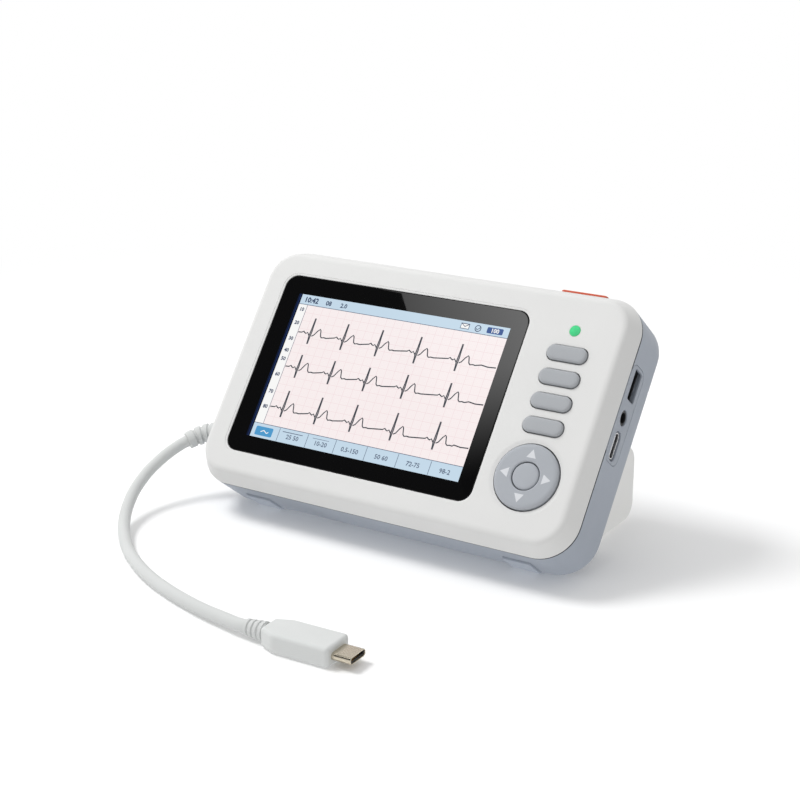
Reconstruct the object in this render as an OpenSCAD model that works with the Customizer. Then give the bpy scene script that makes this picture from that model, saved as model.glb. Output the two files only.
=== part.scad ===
// Home ECG monitor: a desk-top heart monitor with a leaning face, a screen, four pill keys,
// a rocking direction pad, a top button, side sockets, a flip-up rear foot and a captive lead.
// All sizes are millimetres. The housing is drawn upright in its own frame, where X runs to the
// right, Y goes back from the flat face and Z goes up the face, and is then leaned back by "tilt".

/* [Housing] */
// Width of the housing
body_w = 148; // [146:1:156]
// Height of the housing, measured up the face
body_h = 90.5; // [89:0.5:96]
// Depth from the flat face to the rear wall
body_d = 27; // [26.5:0.5:32]
// Backward lean of the face, in degrees from upright
tilt = 37.4; // [34:0.2:41]
// Wall thickness of the shells
wall = 2.4; // [2.2:0.1:2.8]
// Corner radius of the housing, seen from the front
corner_r = 13; // [12:0.5:16]
// Depth of the seam behind the flat face
seam_d = 6.4; // [6:0.1:6.8]
// Spread of the bevel between the flat face and the seam
bevel_out = 3.3; // [2.5:0.1:4]
// Radius of the soft edge round the flat face
soft_r = 2.5; // [1.5:0.1:3]
// Radius of the rear edge
rear_r = 3; // [2.5:0.1:3.6]
// Thickness of the front shell at its flat face
face_t = 2.6; // [2.4:0.1:2.8]
// Depth of the shadow groove along the seam
groove_d = 0.5; // [0.3:0.1:0.8]

/* [Screen] */
// Margin between the left wall and the glass
glass_in_left = 11.5; // [11:0.1:12]
// Margin between the right wall and the glass
glass_in_right = 37.3; // [37:0.1:38]
// Margin between the top wall and the glass
glass_in_top = 11.35; // [11:0.05:12]
// Margin between the bottom wall and the glass
glass_in_bottom = 11.15; // [11:0.05:12]
// Dark border beside the picture, on the left
glass_left = 8.6; // [8.4:0.1:9]
// Dark border beside the picture, on the right
glass_right = 6; // [5.8:0.1:6.2]
// Dark border above the picture
glass_top = 6.8; // [6.6:0.1:7.4]
// Dark border below the picture
glass_bottom = 6.2; // [6:0.1:6.8]
// Corner radius of the cover glass
glass_r = 4.6; // [3.5:0.1:6]
// Thickness of the cover glass
glass_t = 1.1; // [0.8:0.1:1.2]

/* [Keys] */
// Distance of the keys' centre line from the right wall
key_in = 20.3; // [20:0.1:20.6]
// Length of a pill key
key_l = 14.3; // [13:0.1:14.6]
// Share of a pill key's pitch that its height takes
key_share = 0.624; // [0.56:0.004:0.64]
// Distance of the top key's centre line from the top wall
key_in_top = 23.85; // [23.5:0.05:24.2]
// How far keys and pad stand proud of the face
key_proud = 1.3; // [0.9:0.1:1.6]
// Travel of the keys and of the top button
travel = 0.8; // [0.5:0.1:0.8]
// Gap round every key
key_gap = 0.25; // [0.2:0.05:0.3]
// Radius of the direction ring
pad_r = 11.4; // [11:0.1:11.6]
// Radius of the round button in the ring
ok_r = 4.8; // [4.2:0.1:4.9]
// Distance of the direction ring's centre from the bottom wall
pad_in = 23.75; // [23.4:0.05:24.1]
// Gap between the direction ring and the centre line of the lowest pill key
pad_above = 6; // [5.8:0.1:6.2]
// Distance of the lamp's centre from the top wall
lamp_in = 15.45; // [15.1:0.05:15.7]
// Diameter of the lamp
lamp_dia = 3.8; // [3:0.1:4]

/* [Top button] */
// Distance of the top button's centre from the right wall
top_in = 25.6; // [25:0.2:28]
// Length of the top button
top_l = 17.2; // [15:0.2:17.4]
// Width of the top button, front to back
top_w = 8; // [6.5:0.1:8.2]
// How far the top button stands proud
top_proud = 1.5; // [1:0.1:2]

/* [Sockets] */
// Length of the socket panel in the right wall
panel_l = 36; // [35.5:0.5:38]
// Width of the socket panel
panel_w = 11.2; // [10.6:0.1:11.4]
// Centre of the socket panel above the middle of the housing
panel_v = 9.9; // [9.8:0.1:10]
// Depth of the socket centres behind the flat face
socket_w = 12.5; // [12.5:0.1:12.6]
// Height of the lead socket's centre
lead_v = 18.9; // [18.7:0.1:19.1]
// Height of the jack's centre
jack_v = 7.5; // [7.3:0.1:7.7]
// Height of the charging socket's centre
usb_v = -2.2; // [-2.3:0.1:-2]
// Length of the lead socket's mouth
lead_l = 10.2; // [9.6:0.1:10.4]
// Width of the lead socket's mouth
lead_w = 4.4; // [4.1:0.1:4.4]
// Diameter of the jack's bore
jack_dia = 3.6; // [3.5:0.1:3.7]

/* [Rear foot] */
// Width of the foot
foot_w = 124; // [121:1:130]
// Wall thickness of the foot
foot_t = 2.5; // [2:0.1:3]
// Height of the hinge above the middle of the housing
hinge_v = 7; // [6:0.5:9]
// Distance of the hinge axis behind the rear wall
hinge_out = 4.5; // [4.4:0.1:5.5]
// Reach of the foot behind the hinge axis
foot_reach = 22.8; // [21:0.2:25]
// Slope of the foot's upper side, in degrees below level
foot_slope = 39; // [37:0.5:40]
// Length of the foot's front edge that bears on the rear wall
foot_bear = 19; // [18:0.5:20]
// Diameter of the hinge pins
pin_dia = 3; // [2.5:0.1:3.2]
// Distance of each hinge from the middle of the housing
hinge_x = 50; // [47:0.5:51]
// Thickness of the foot's rubber pads
pad_t = 1; // [0.8:0.1:1.4]

/* [Front feet] */
// Length of each front foot along the housing
rubber_l = 10; // [8:0.5:12]
// Distance of each front foot from the middle of the housing
rubber_x = 52; // [46:0.5:54]
// How far the front feet stand proud
rubber_proud = 0.8; // [0.5:0.1:1.2]

/* [Lead] */
// Diameter of the lead
cable_dia = 4.2; // [3.8:0.1:4.4]
// Height of the lead's exit, above the middle of the housing
exit_v = -26.9; // [-27:0.1:-26.7]
// Depth of the lead's exit behind the flat face
exit_w = 11.9; // [11.8:0.1:12]
// Length of the plug's grip
grip_l = 25; // [22:0.5:28]
// Width of the plug's grip
grip_w = 12.3; // [11:0.1:12.35]
// Thickness of the plug's grip
grip_t = 6.5; // [5.5:0.1:6.5]
// Length of the plug's metal shell
nose_l = 6.65; // [6.2:0.05:7]
// Width of the plug's metal shell
nose_w = 8.25; // [8:0.05:8.3]
// Thickness of the plug's metal shell
nose_t = 2.4; // [2.2:0.05:2.5]

/* [Hidden] */

$fn = 64;
soft_fn = 32;              // segments of the rounded outlines inside a hull
skin = 0.02;               // thickness of the thin slices that a hull joins
over = 1;                  // how far a cut runs past the surface it opens
run_gap = 0.4;             // running clearance beside the foot and its hinge
fit_gap = 0.1;             // clearance round pieces that are fitted and stay put

// Housing
bevel_a = atan(bevel_out/seam_d);
edge_turn = 90 - bevel_a;
edge_in = bevel_out + soft_r*tan(edge_turn/2);
edge_steps = 4;
soft_edge = [for (i = [0:edge_steps]) let (t = edge_turn*i/edge_steps)
             [soft_r*(1 - cos(t)), edge_in - soft_r*sin(t)]];
rear_steps = 4;
rear_edge = [for (i = [0:rear_steps]) let (t = 90*i/rear_steps)
             [body_d - rear_r*(1 - sin(t)), rear_r*(1 - cos(t))]];
rear_in = body_d - wall;
boss_r = 3.2;
boss_inset = 9;
boss_split = 14;
boss_x = body_w/2 - boss_inset;
boss_v = body_h/2 - boss_inset;
screw_r = 1.25;
screw_seat = rear_in + 0.5;

// Screen stack, front to back
glass_sink = 0.25;
glass_back = glass_sink + glass_t;
adhesive_t = 0.2;
ledge_w = 3;
glass_l = body_w - glass_in_left - glass_in_right;
glass_h = body_h - glass_in_top - glass_in_bottom;
glass_x = (glass_in_left - glass_in_right)/2;
glass_v = (glass_in_bottom - glass_in_top)/2;
lcd_w = glass_l - glass_left - glass_right;
lcd_h = glass_h - glass_top - glass_bottom;
lcd_x = glass_x + (glass_left - glass_right)/2;
lcd_v = glass_v + (glass_bottom - glass_top)/2;
lcd_rim = 2.7;
lcd_t = 3;
lcd_back = glass_back + lcd_t;
tray_t = 0.6;
tray_rim = 6.2;
tray_h_rim = 5.7;

// Key column
key_x = body_w/2 - key_in;
top_x = body_w/2 - top_in;
lamp_v = body_h/2 - lamp_in;
key_top_v = body_h/2 - key_in_top;
pad_v = -body_h/2 + pad_in;
key_pitch = (key_top_v - pad_v - pad_r - pad_above)/3;
key_h = key_share*key_pitch;

// Boards
board_t = 1.6;
board_w0 = 15.9;
board_w1 = board_w0 + board_t;
board_in_side = 16;
board_in_top = 7.25;
board_in_bottom = 9.25;
board_edge_gap = 1.1;
board_step = 2.9;
standoff_r = 2.4;
standoff_x = body_w/2 - 22;
standoff_v = body_h/2 - 14.25;
chip_t = 1.4;
shield_l = 32;
shield_h = 26;
shield_t = 3;
shield_x = -14;
shield_v = -2;
shield_skin = 0.4;
battery_l = 60;
battery_h = 42;
battery_r = 3;
battery_x = -14;
battery_v = -1;
battery_gap = 0.3;
plug_l = 7;
plug_h = 6;
plug_t = 3;
wire_r = 0.6;
speaker_r = 10;
speaker_t = 4.4;
key_board_half = 12;
key_board_over = 2.7;
key_board_under = 11.2;
key_board_w0 = 8;
key_board_w1 = 9.2;
dome_t = 0.5;
dome_w0 = key_board_w0 - dome_t;
stop_gap = 0.1;
stem_end = dome_w0 - travel - stop_gap;
post_places = [[-10, lamp_v], [10, lamp_v], [-10.4, pad_v + 12.9], [10.4, pad_v + 12.9]];
post_r = 1.5;

// Direction pad: the rocking axes cross at this depth
rock_w = 1.5;
rock_deg = 2.5;
ring_bore = ok_r + 0.4;
ring_flange_r = pad_r + 0.6;
ring_back = 4.4;
plunger_at = 9.4;
plunger_r = 1.1;
plunger_end = dome_w0 - (plunger_at + plunger_r)*sin(rock_deg) - stop_gap;
collar_in = ok_r + 1.2;
collar_out = collar_in + 1.4;
collar_w0 = ring_back + 0.65;
collar_w1 = collar_w0 + 2.3;

// Rear foot, drawn upright about the middle of the housing's flat face
function to_side(v, w) = [v*sin(tilt) + w*cos(tilt), v*cos(tilt) - w*sin(tilt)];
knuckle_r = 4;
ear_r = 3.6;
lug_half = 3.7;
ear_t = 3.5;
swing_r = 6;
pad_inset = 5;
hinge_at = to_side(hinge_v, body_d + hinge_out);
slope_n = [sin(foot_slope), cos(foot_slope)];
slope_d = [cos(foot_slope), -sin(foot_slope)];
heel_y = hinge_at.x + foot_reach;
bear_at = to_side(hinge_v - foot_bear, body_d + run_gap);
rubber_low = to_side(-body_h/2 + rear_r, body_d - rear_r).y - rear_r - rubber_proud;
rubber_flat = 0.3;
floor_z = rubber_low + rubber_flat;
sole_z = floor_z + pad_t;
function slope_z(y, off) = hinge_at.y + (off - (y - hinge_at.x)*slope_n.x)/slope_n.y;
foot_outer = [[bear_at.x, sole_z], [heel_y, sole_z], [heel_y, slope_z(heel_y, knuckle_r)],
              hinge_at + knuckle_r*slope_n, to_side(hinge_v, body_d + run_gap), bear_at];
foot_rounding = [0, 6, 6, 0, 0, 0];
void_y = heel_y - foot_t;
void_off = knuckle_r - foot_t;
void_back = 25;
foot_void = [[bear_at.x - void_back, sole_z + foot_t], [void_y, sole_z + foot_t],
             [void_y, slope_z(void_y, void_off)], hinge_at + void_off*slope_n - 8*slope_d,
             [bear_at.x - void_back, hinge_at.y + void_back]];
void_rounding = [0, 3.5, 3.5, 0, 0];

// Place of the housing: its box is centred front to back and its feet stand on Z = 0
front_y = min([for (p = soft_edge) to_side(-body_h/2 + p.y, p.x).x]);
body_y = -(front_y + heel_y)/2;
body_z = -floor_z;

// Lead and plug. The points between the housing and the plug are chosen by hand.
exit_side = to_side(exit_v, exit_w);
exit_at = [-body_w/2, body_y + exit_side.x, body_z + exit_side.y];
boot_path = [exit_at, exit_at + [-3.2, 0, 0], exit_at + [-6.2, -1.3, -0.5],
             exit_at + [-8.9, -3.6, -1.4], exit_at + [-10.9, -6.5, -2.6]];
plug_turn = 2;
plug_boot_l = 7.5;
plug_at = [4.5, -109.2, grip_t/2];
route = [boot_path[4], boot_path[4] + [-1.2, -1.7, -0.75], [-87.4, -31.8, 18.3], [-88.6, -35.6, 16.6],
         [-89.3, -39.8, 14.7], [-89.6, -44.3, 12.7], [-89.1, -48.9, 10.7], [-87.9, -53.6, 8.9],
         [-86, -58.3, 7.1], [-83.5, -63, 5.5], [-80.2, -67.8, 4.1], [-76.2, -72.6, 3],
         [-71.3, -77.5, 2.4], [-65.5, -82.6, 2.1], [-58.8, -87.5, 2.1], [-51.3, -92.1, 2.1],
         [-43, -96.4, 2.1], [-34, -100, 2.1], [-24.5, -103.2, 2.2], [-15, -105.8, 2.4],
         [-5.5, -107.8, 2.8], plug_at - [2, 0.07, 0.08], plug_at];
cable_sides = 10;

// ---------------------------------------------------------------- helpers

// Stands the children in the housing's leaning frame
module leaned() { translate([0, body_y, body_z]) rotate([-tilt, 0, 0]) children(); }

// Stands the children upright about the middle of the housing's face
module upright() { translate([0, body_y, body_z]) children(); }

// Extrudes an outline seen from the front between two depths
module slab(w0, w1) { translate([0, w1, 0]) rotate([90, 0, 0]) linear_extrude(w1 - w0) children(); }

// Extrudes an outline seen from the right (back, up) between two X places
module side(x0, x1) { translate([x0, 0, 0]) rotate([90, 0, 90]) linear_extrude(x1 - x0) children(); }

// Round peg that runs back from w0 to w1
module peg(x, v, w0, w1, r) { translate([x, w0, v]) rotate([-90, 0, 0]) cylinder(h = w1 - w0, r = r); }

// Round rod that runs to the right from x0 to x1
module rod(x0, x1, y, z, r) { translate([x0, y, z]) rotate([0, 90, 0]) cylinder(h = x1 - x0, r = r); }

// Block given by its low and high corners
module block(a, b) { translate(a) cube(b - a); }

// Revolved profile (radius, depth) about an axis that runs back from the face
module turned(x, v) { translate([x, 0, v]) rotate([-90, 0, 0]) rotate_extrude() children(); }

// Rectangle with round corners, made of true arcs
module rounded(w, h, r) {
    square([w - 2*r, h], center = true);
    square([w, h - 2*r], center = true);
    for (sx = [-1, 1], sy = [-1, 1])
        translate([sx*(w/2 - r), sy*(h/2 - r)]) circle(r);
}

// Outline with half-round ends
module pill(l, h) { rounded(l, h, h/2 - 0.001); }

// Outline of the housing, drawn in by "inset"
module outline(inset) { rounded(body_w - 2*inset, body_h - 2*inset, corner_r - inset); }

// Points of an arc that rounds the corner b between a and c
function corner_arc(a, b, c, r) =
    let (u = (a - b)/norm(a - b), v = (c - b)/norm(c - b), half = acos(u*v)/2,
         m = b + (u + v)/norm(u + v)*(r/sin(half)),
         p = b + u*r/tan(half) - m, q = b + v*r/tan(half) - m,
         a0 = atan2(p.y, p.x), sweep = (atan2(q.y, q.x) - a0 + 540)%360 - 180, n = 8)
    [for (i = [0:n]) m + r*[cos(a0 + sweep*i/n), sin(a0 + sweep*i/n)]];

// Outline whose corners are rounded by the given radii
function soft_outline(pts, radii) =
    let (n = len(pts))
    [for (i = [0:n - 1]) each radii[i] == 0 ? [pts[i]]
        : corner_arc(pts[(i + n - 1)%n], pts[i], pts[(i + 1)%n], radii[i])];

// ---------------------------------------------------------------- housing

module corner_screw_places() {
    for (sx = [-1, 1], sv = [-1, 1]) translate([sx*boss_x, 0, sv*boss_v]) children();
}

module standoff_places() {
    for (sx = [-1, 1], sv = [-1, 1]) translate([sx*standoff_x, 0, sv*standoff_v]) children();
}

module front_shell() {
    color("whitesmoke") leaned() difference() {
        union() {
            difference() {
                hull() {
                    for (p = soft_edge) slab(p.x, p.x + skin) outline(p.y, $fn = soft_fn);
                    slab(seam_d - skin, seam_d) outline(0, $fn = soft_fn);
                }
                hull() {
                    slab(face_t, face_t + skin)
                        outline(wall + bevel_out*(1 - face_t/seam_d), $fn = soft_fn);
                    slab(seam_d + over - skin, seam_d + over) outline(wall, $fn = soft_fn);
                }
            }
            corner_screw_places() peg(0, 0, face_t - 0.5, boss_split, boss_r);
            for (p = post_places) peg(key_x + p.x, p.y, face_t - 0.5, key_board_w0, post_r);
        }
        // recess and window for the glass
        slab(-over, glass_back + adhesive_t) translate([glass_x, glass_v])
            rounded(glass_l + 2*fit_gap, glass_h + 2*fit_gap, glass_r + fit_gap);
        slab(0, face_t + over) translate([glass_x, glass_v])
            rounded(glass_l - 2*ledge_w, glass_h - 2*ledge_w, glass_r - ledge_w);
        // keys, pad and lamp
        for (i = [0:3]) slab(-over, face_t + over) translate([key_x, key_top_v - i*key_pitch])
            pill(key_l + 2*key_gap, key_h + 2*key_gap);
        peg(key_x, pad_v, -over, face_t + over, pad_r + key_gap + 0.1);
        turned(key_x, pad_v) polygon([[0, -over], [pad_r + 1.6, -over], [pad_r + 1.2, 0.45], [0, 0.45]]);
        peg(key_x, lamp_v, -over, face_t + over, lamp_dia/2 + fit_gap/2);
        // pilot holes
        corner_screw_places() peg(0, 0, face_t + 4, boss_split + over, screw_r + fit_gap/2);
        for (p = post_places) peg(key_x + p.x, p.y, face_t + 1.5, key_board_w0 + over, 0.85);
    }
}

// Profile round the lower rear edge, moved out by "off", between depth w0 and height v1
module lower_edge(off, w0, v1) {
    r = rear_r + off;
    translate([body_d - rear_r, -body_h/2 + rear_r]) intersection() {
        circle(r);
        translate([0, -r]) square(r);
    }
    translate([w0, -body_h/2 - off]) square([body_d - rear_r - w0, r]);
    translate([body_d - rear_r, -body_h/2 + rear_r]) square([r, v1 + body_h/2 - rear_r]);
}

rubber_w0 = 15.4;
rubber_up = 7;
rubber_sink = 0.8;
module rubber_band(grow) {
    v1 = -body_h/2 + rubber_up + grow;
    difference() {
        lower_edge(rubber_proud + grow, rubber_w0 - grow, v1);
        lower_edge(-rubber_sink, rubber_w0 - 2*over, v1 + over);
    }
}

module hinge_ear(x0) {
    side(x0, x0 + ear_t) difference() {
        union() {
            translate([body_d + hinge_out, hinge_v]) circle(ear_r);
            translate([body_d - 0.5, hinge_v - ear_r]) square([hinge_out + 0.5, 2*ear_r]);
        }
        translate([body_d + hinge_out, hinge_v]) circle(pin_dia/2 + 0.02);
    }
}

panel_w0 = seam_d + groove_d;
panel_t = 1.6;
panel_mid = panel_w0 + fit_gap + panel_w/2;
window_lo = -7;
window_hi = 25.9;
window_half = 3.45;
button_mid = seam_d + 1.6 + top_w/2;
grille_x = 30;
grille_v = body_h/2 - 21.25;

module rear_shell() {
    color("slategray") leaned() difference() {
        union() {
            difference() {
                hull() {
                    slab(seam_d, seam_d + skin) outline(0, $fn = soft_fn);
                    for (p = rear_edge) slab(p.x - skin, p.x) outline(p.y, $fn = soft_fn);
                }
                slab(seam_d - over, rear_in) outline(wall);
            }
            corner_screw_places() peg(0, 0, boss_split, rear_in + 0.2, boss_r);
            standoff_places() peg(0, 0, board_w1, rear_in + 0.2, standoff_r);
            for (sx = [-1, 1]) {
                hinge_ear(sx*hinge_x - lug_half - run_gap - ear_t);
                hinge_ear(sx*hinge_x + lug_half + run_gap);
            }
        }
        // shadow groove along the seam
        slab(seam_d - over, seam_d + groove_d) difference() {
            square([body_w + 2*over, body_h + 2*over], center = true);
            outline(groove_d);
        }
        // case screws and board standoffs
        corner_screw_places() {
            peg(0, 0, boss_split - over, body_d, 1.5);
            peg(0, 0, screw_seat, body_d + over, 2.8);
        }
        standoff_places() peg(0, 0, board_w1 - over, rear_in - 1.4, 1);
        // socket panel pocket and the window behind it
        side(body_w/2 - panel_t, body_w/2 + over) translate([panel_mid, panel_v])
            rounded(panel_w + 2*fit_gap, panel_l + 2*fit_gap, 3.5);
        side(body_w/2 - wall - over, body_w/2) translate([socket_w - window_half + 0.25, window_lo])
            square([2*window_half, window_hi - window_lo]);
        // top button
        block([top_x - top_l/2 - key_gap, button_mid - top_w/2 - key_gap, body_h/2 - wall - over],
              [top_x + top_l/2 + key_gap, button_mid + top_w/2 + key_gap, body_h/2 + over]);
        // lead exit
        rod(-body_w/2 - over, -body_w/2 + wall + over, exit_w, exit_v, 3.4 + fit_gap);
        // sound slots
        for (i = [-2:2]) slab(rear_in - over, body_d + over)
            translate([grille_x, grille_v + 3*i]) pill(13 - abs(i)*1.5, 1.4);
        // seats of the front feet
        for (sx = [-1, 1]) side(sx*rubber_x - rubber_l/2 - fit_gap, sx*rubber_x + rubber_l/2 + fit_gap)
            rubber_band(fit_gap);
    }
}

module case_screws() {
    color("silver") leaned() corner_screw_places() difference() {
        union() {
            peg(0, 0, face_t + 5, screw_seat + 0.1, screw_r);
            peg(0, 0, screw_seat, screw_seat + 1.3, 2.5);
        }
        slab(screw_seat + 0.6, screw_seat + 2) {
            square([2.8, 0.7], center = true);
            square([0.7, 2.8], center = true);
        }
    }
}

module front_feet() {
    color("dimgray") difference() {
        leaned() for (sx = [-1, 1])
            side(sx*rubber_x - rubber_l/2, sx*rubber_x + rubber_l/2) rubber_band(0);
        block([-body_w, -body_h, -10], [body_w, body_h, 0]);
    }
}

// ---------------------------------------------------------------- screen

module cover_glass() {
    color("black") leaned() slab(glass_sink, glass_back)
        translate([glass_x, glass_v]) rounded(glass_l, glass_h, glass_r);
}

module glass_adhesive() {
    color("dimgray") leaned() slab(glass_back, glass_back + adhesive_t)
        translate([glass_x, glass_v]) difference() {
            rounded(glass_l - 0.8, glass_h - 0.8, glass_r - 0.4);
            rounded(glass_l - 2*ledge_w + 0.6, glass_h - 2*ledge_w + 0.6, glass_r - ledge_w);
        }
}

module lcd_panel() {
    color("lavenderblush") leaned() slab(glass_back, lcd_back)
        translate([lcd_x, lcd_v]) square([lcd_w + 2*lcd_rim, lcd_h + 2*lcd_rim], center = true);
}

flex_half = 10;
module lcd_tray() {
    color("silver") leaned() difference() {
        slab(face_t, lcd_back + tray_t) translate([glass_x, glass_v])
            square([glass_l - 2*ledge_w + 3.4, glass_h - 2*ledge_w + 3.4], center = true);
        slab(face_t - over, lcd_back) translate([glass_x, glass_v])
            square([glass_l - 2*ledge_w + 2, glass_h - 2*ledge_w + 2], center = true);
        // way out of the flat cable
        slab(face_t - over, lcd_back + tray_t + over)
            translate([lcd_x - flex_half - 1, glass_v - glass_h/2]) square([2*flex_half + 2, ledge_w + 0.6]);
        // weight-saving openings
        for (sx = [-1, 1]) slab(lcd_back - over, lcd_back + tray_t + over)
            translate([lcd_x + sx*22, lcd_v]) rounded(30, 38, 3);
    }
}

module lcd_flex() {
    lo = lcd_v - lcd_h/2 - lcd_rim;
    bend = glass_v - glass_h/2 + 0.9;
    color("chocolate") leaned() side(lcd_x - flex_half, lcd_x + flex_half)
        polygon([[3.3, lo], [3.3, bend], [board_w0, bend], [board_w0, bend + 6],
                 [board_w0 - 0.3, bend + 6], [board_w0 - 0.3, bend + 0.3], [3.6, bend + 0.3], [3.6, lo]]);
}

// ---------------------------------------------------------------- boards and what they carry

module main_board() {
    half = body_w/2 - board_in_side;
    edge = body_w/2 - wall - board_edge_gap;
    low = -body_h/2 + board_in_bottom;
    high = body_h/2 - board_in_top;
    tab = panel_v - panel_l/2 - board_step;
    color("seagreen") leaned() {
        difference() {
            slab(board_w0, board_w1) {
                translate([-half, low]) square([2*half, high - low]);
                translate([0, tab]) square([edge, panel_l + board_step]);
            }
            standoff_places() peg(0, 0, board_w0 - over, board_w1 + over, 1.1);
        }
        for (c = [[0.24, 0.6, 12], [-0.7, 0.58, 9], [-0.68, -0.04, 8], [0.42, -0.3, 10]])
            slab(board_w0 - chip_t, board_w0)
                translate([c.x*half, c.y*high]) square([c.z, c.z], center = true);
    }
}

module shield_can() {
    color("silver") leaned() translate([shield_x, 0, shield_v]) difference() {
        slab(board_w0 - shield_t, board_w0) square([shield_l, shield_h], center = true);
        slab(board_w0 - shield_t + shield_skin, board_w0 + over)
            square([shield_l - 2*shield_skin, shield_h - 2*shield_skin], center = true);
    }
}

switch_l = 6;
switch_h = 4.9;
switch_t = 3.5;
module side_switch() {
    color("gray") leaned() block([top_x - switch_l/2, board_w0 - switch_t, switch_top - switch_h],
                                 [top_x + switch_l/2, board_w0, switch_top]);
}

button_in = body_h/2 - wall - 0.35;
button_foot = button_in - 2.2;
switch_top = button_foot - travel - stop_gap;
button_edge = 1.2;
module top_button() {
    color("tomato") leaned() {
        slab(button_mid - top_w/2, button_mid + top_w/2) translate([top_x, 0])
            polygon([[-top_l/2, button_in - 0.9], [top_l/2, button_in - 0.9],
                     [top_l/2, body_h/2 + 0.3], [top_l/2 - button_edge, body_h/2 + top_proud],
                     [-top_l/2 + button_edge, body_h/2 + top_proud], [-top_l/2, body_h/2 + 0.3]]);
        block([top_x - top_l/2 - 1, button_mid - top_w/2 - 1, button_in - 0.9],
              [top_x + top_l/2 + 1, button_mid + top_w/2 + 1, button_in]);
        block([top_x - 2.5, button_mid - 1, button_foot], [top_x + 2.5, button_mid + 3, button_in - 0.5]);
    }
}

module key_board() {
    color("darkgreen") leaned() {
        difference() {
            slab(key_board_w0, key_board_w1) translate([key_x - key_board_half, pad_v - key_board_under])
                square([2*key_board_half, lamp_v - pad_v + key_board_under + key_board_over]);
            for (p = post_places) peg(key_x + p.x, p.y, key_board_w0 - over, key_board_w1 + over, 1);
        }
        block([key_x - 1, key_board_w0 - 0.8, lamp_v - 1], [key_x + 1, key_board_w0, lamp_v + 1]);
    }
}

module dome_switches() {
    color("goldenrod") leaned() {
        for (i = [0:3]) peg(key_x, key_top_v - i*key_pitch, dome_w0, key_board_w0, 2.5);
        peg(key_x, pad_v, dome_w0, key_board_w0, 2.5);
        for (a = [0:90:270])
            peg(key_x + plunger_at*cos(a), pad_v + plunger_at*sin(a), dome_w0, key_board_w0, 1.4);
    }
}

module board_screws() {
    color("silver") leaned() {
        for (p = post_places) {
            peg(key_x + p.x, p.y, face_t + 2, key_board_w1, 0.8);
            peg(key_x + p.x, p.y, key_board_w1, key_board_w1 + 0.9, 1.5);
        }
        standoff_places() {
            peg(0, 0, board_w0, rear_in - 2, 0.95);
            peg(0, 0, board_w0 - 1.2, board_w0, 1.9);
        }
    }
}

module battery() {
    color("steelblue") leaned() slab(board_w1 + battery_gap, rear_in)
        translate([battery_x, battery_v]) rounded(battery_l, battery_h, battery_r);
}

module battery_lead() {
    x0 = battery_x + battery_l/2;
    v0 = battery_v - battery_h/2;
    color("firebrick") leaned() {
        for (k = [1, 2]) rod(x0, x0 + plug_t, board_w1 + plug_t/2, v0 + plug_t*k, wire_r);
        block([x0 + plug_t, board_w1, v0 + plug_t/2],
              [x0 + plug_t + plug_l, board_w1 + plug_t, v0 + plug_h + plug_t/2]);
    }
}

module speaker() {
    color("dimgray") leaned() difference() {
        peg(grille_x, grille_v, rear_in - speaker_t, rear_in, speaker_r);
        peg(grille_x, grille_v, rear_in - 1, rear_in + over, speaker_r - 1.4);
    }
}

module lamp_lens() {
    color("limegreen") leaned() turned(key_x, lamp_v)
        polygon([[0, -0.45], [lamp_dia*0.3, -0.36], [lamp_dia*0.45, -0.15], [lamp_dia/2, 0.1],
                 [lamp_dia/2, face_t], [lamp_dia/2 + 0.6, face_t], [lamp_dia/2 + 0.6, face_t + 0.6],
                 [lamp_dia/2 - 0.4, face_t + 0.6], [lamp_dia/2 - 0.4, key_board_w0 - 0.9],
                 [0, key_board_w0 - 0.9]]);
}

// ---------------------------------------------------------------- keys

cap_r = 0.9;
cap_steps = 3;
module pill_key(i) {
    v = key_top_v - i*key_pitch;
    color("silver") leaned() {
        translate([key_x, 0, v]) {
            hull() {
                for (s = [0:cap_steps]) let (t = 90*s/cap_steps, w = -key_proud + cap_r*(1 - sin(t)),
                                             in = cap_r*(1 - cos(t)))
                    slab(w, w + skin) pill(key_l - 2*in, key_h - 2*in, $fn = soft_fn);
                slab(face_t, face_t + 0.5) pill(key_l, key_h, $fn = soft_fn);
            }
            slab(face_t + 0.4, face_t + 1.2) pill(key_l + 2, key_h + 1.8);
        }
        peg(key_x, v, face_t + 1, stem_end, 1.6);
    }
}

module key_1() { pill_key(0); }
module key_2() { pill_key(1); }
module key_3() { pill_key(2); }
module key_4() { pill_key(3); }

module direction_ring() {
    top = -key_proud + 0.1;
    color("silver") leaned() {
        turned(key_x, pad_v) polygon(concat(
            [[ring_bore, ring_back], [ring_bore, top + 0.5], [ring_bore + 0.4, top + 0.15],
             [ring_bore + 1, top]],
            [for (t = [90:-18:0]) [pad_r - 1.6 + 1.6*cos(t), top + 1.2 - 1.2*sin(t)]],
            [[pad_r, ring_back - 0.7], [ring_flange_r, ring_back - 0.7], [ring_flange_r, ring_back]]));
        for (a = [0:90:270])
            peg(key_x + plunger_at*cos(a), pad_v + plunger_at*sin(a), ring_back - 0.2, plunger_end, plunger_r);
    }
}

module pad_collar() {
    color("gray") leaned() turned(key_x, pad_v)
        polygon([[collar_in, collar_w0], [collar_out, collar_w0], [collar_out, collar_w1],
                 [collar_in, collar_w1]]);
}

module ok_button() {
    top = -key_proud + 0.2;
    color("silver") leaned() turned(key_x, pad_v)
        polygon([[0, top - 0.15], [ok_r*0.5, top - 0.1], [ok_r - 0.7, top + 0.1], [ok_r - 0.2, top + 0.35],
                 [ok_r, top + 0.8], [ok_r, ring_back + 0.7], [ok_r + 0.8, ring_back + 0.7],
                 [ok_r + 0.8, ring_back + 1.3], [1.6, ring_back + 1.3],
                 [1.6, stem_end], [0, stem_end]]);
}

// ---------------------------------------------------------------- sockets

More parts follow.
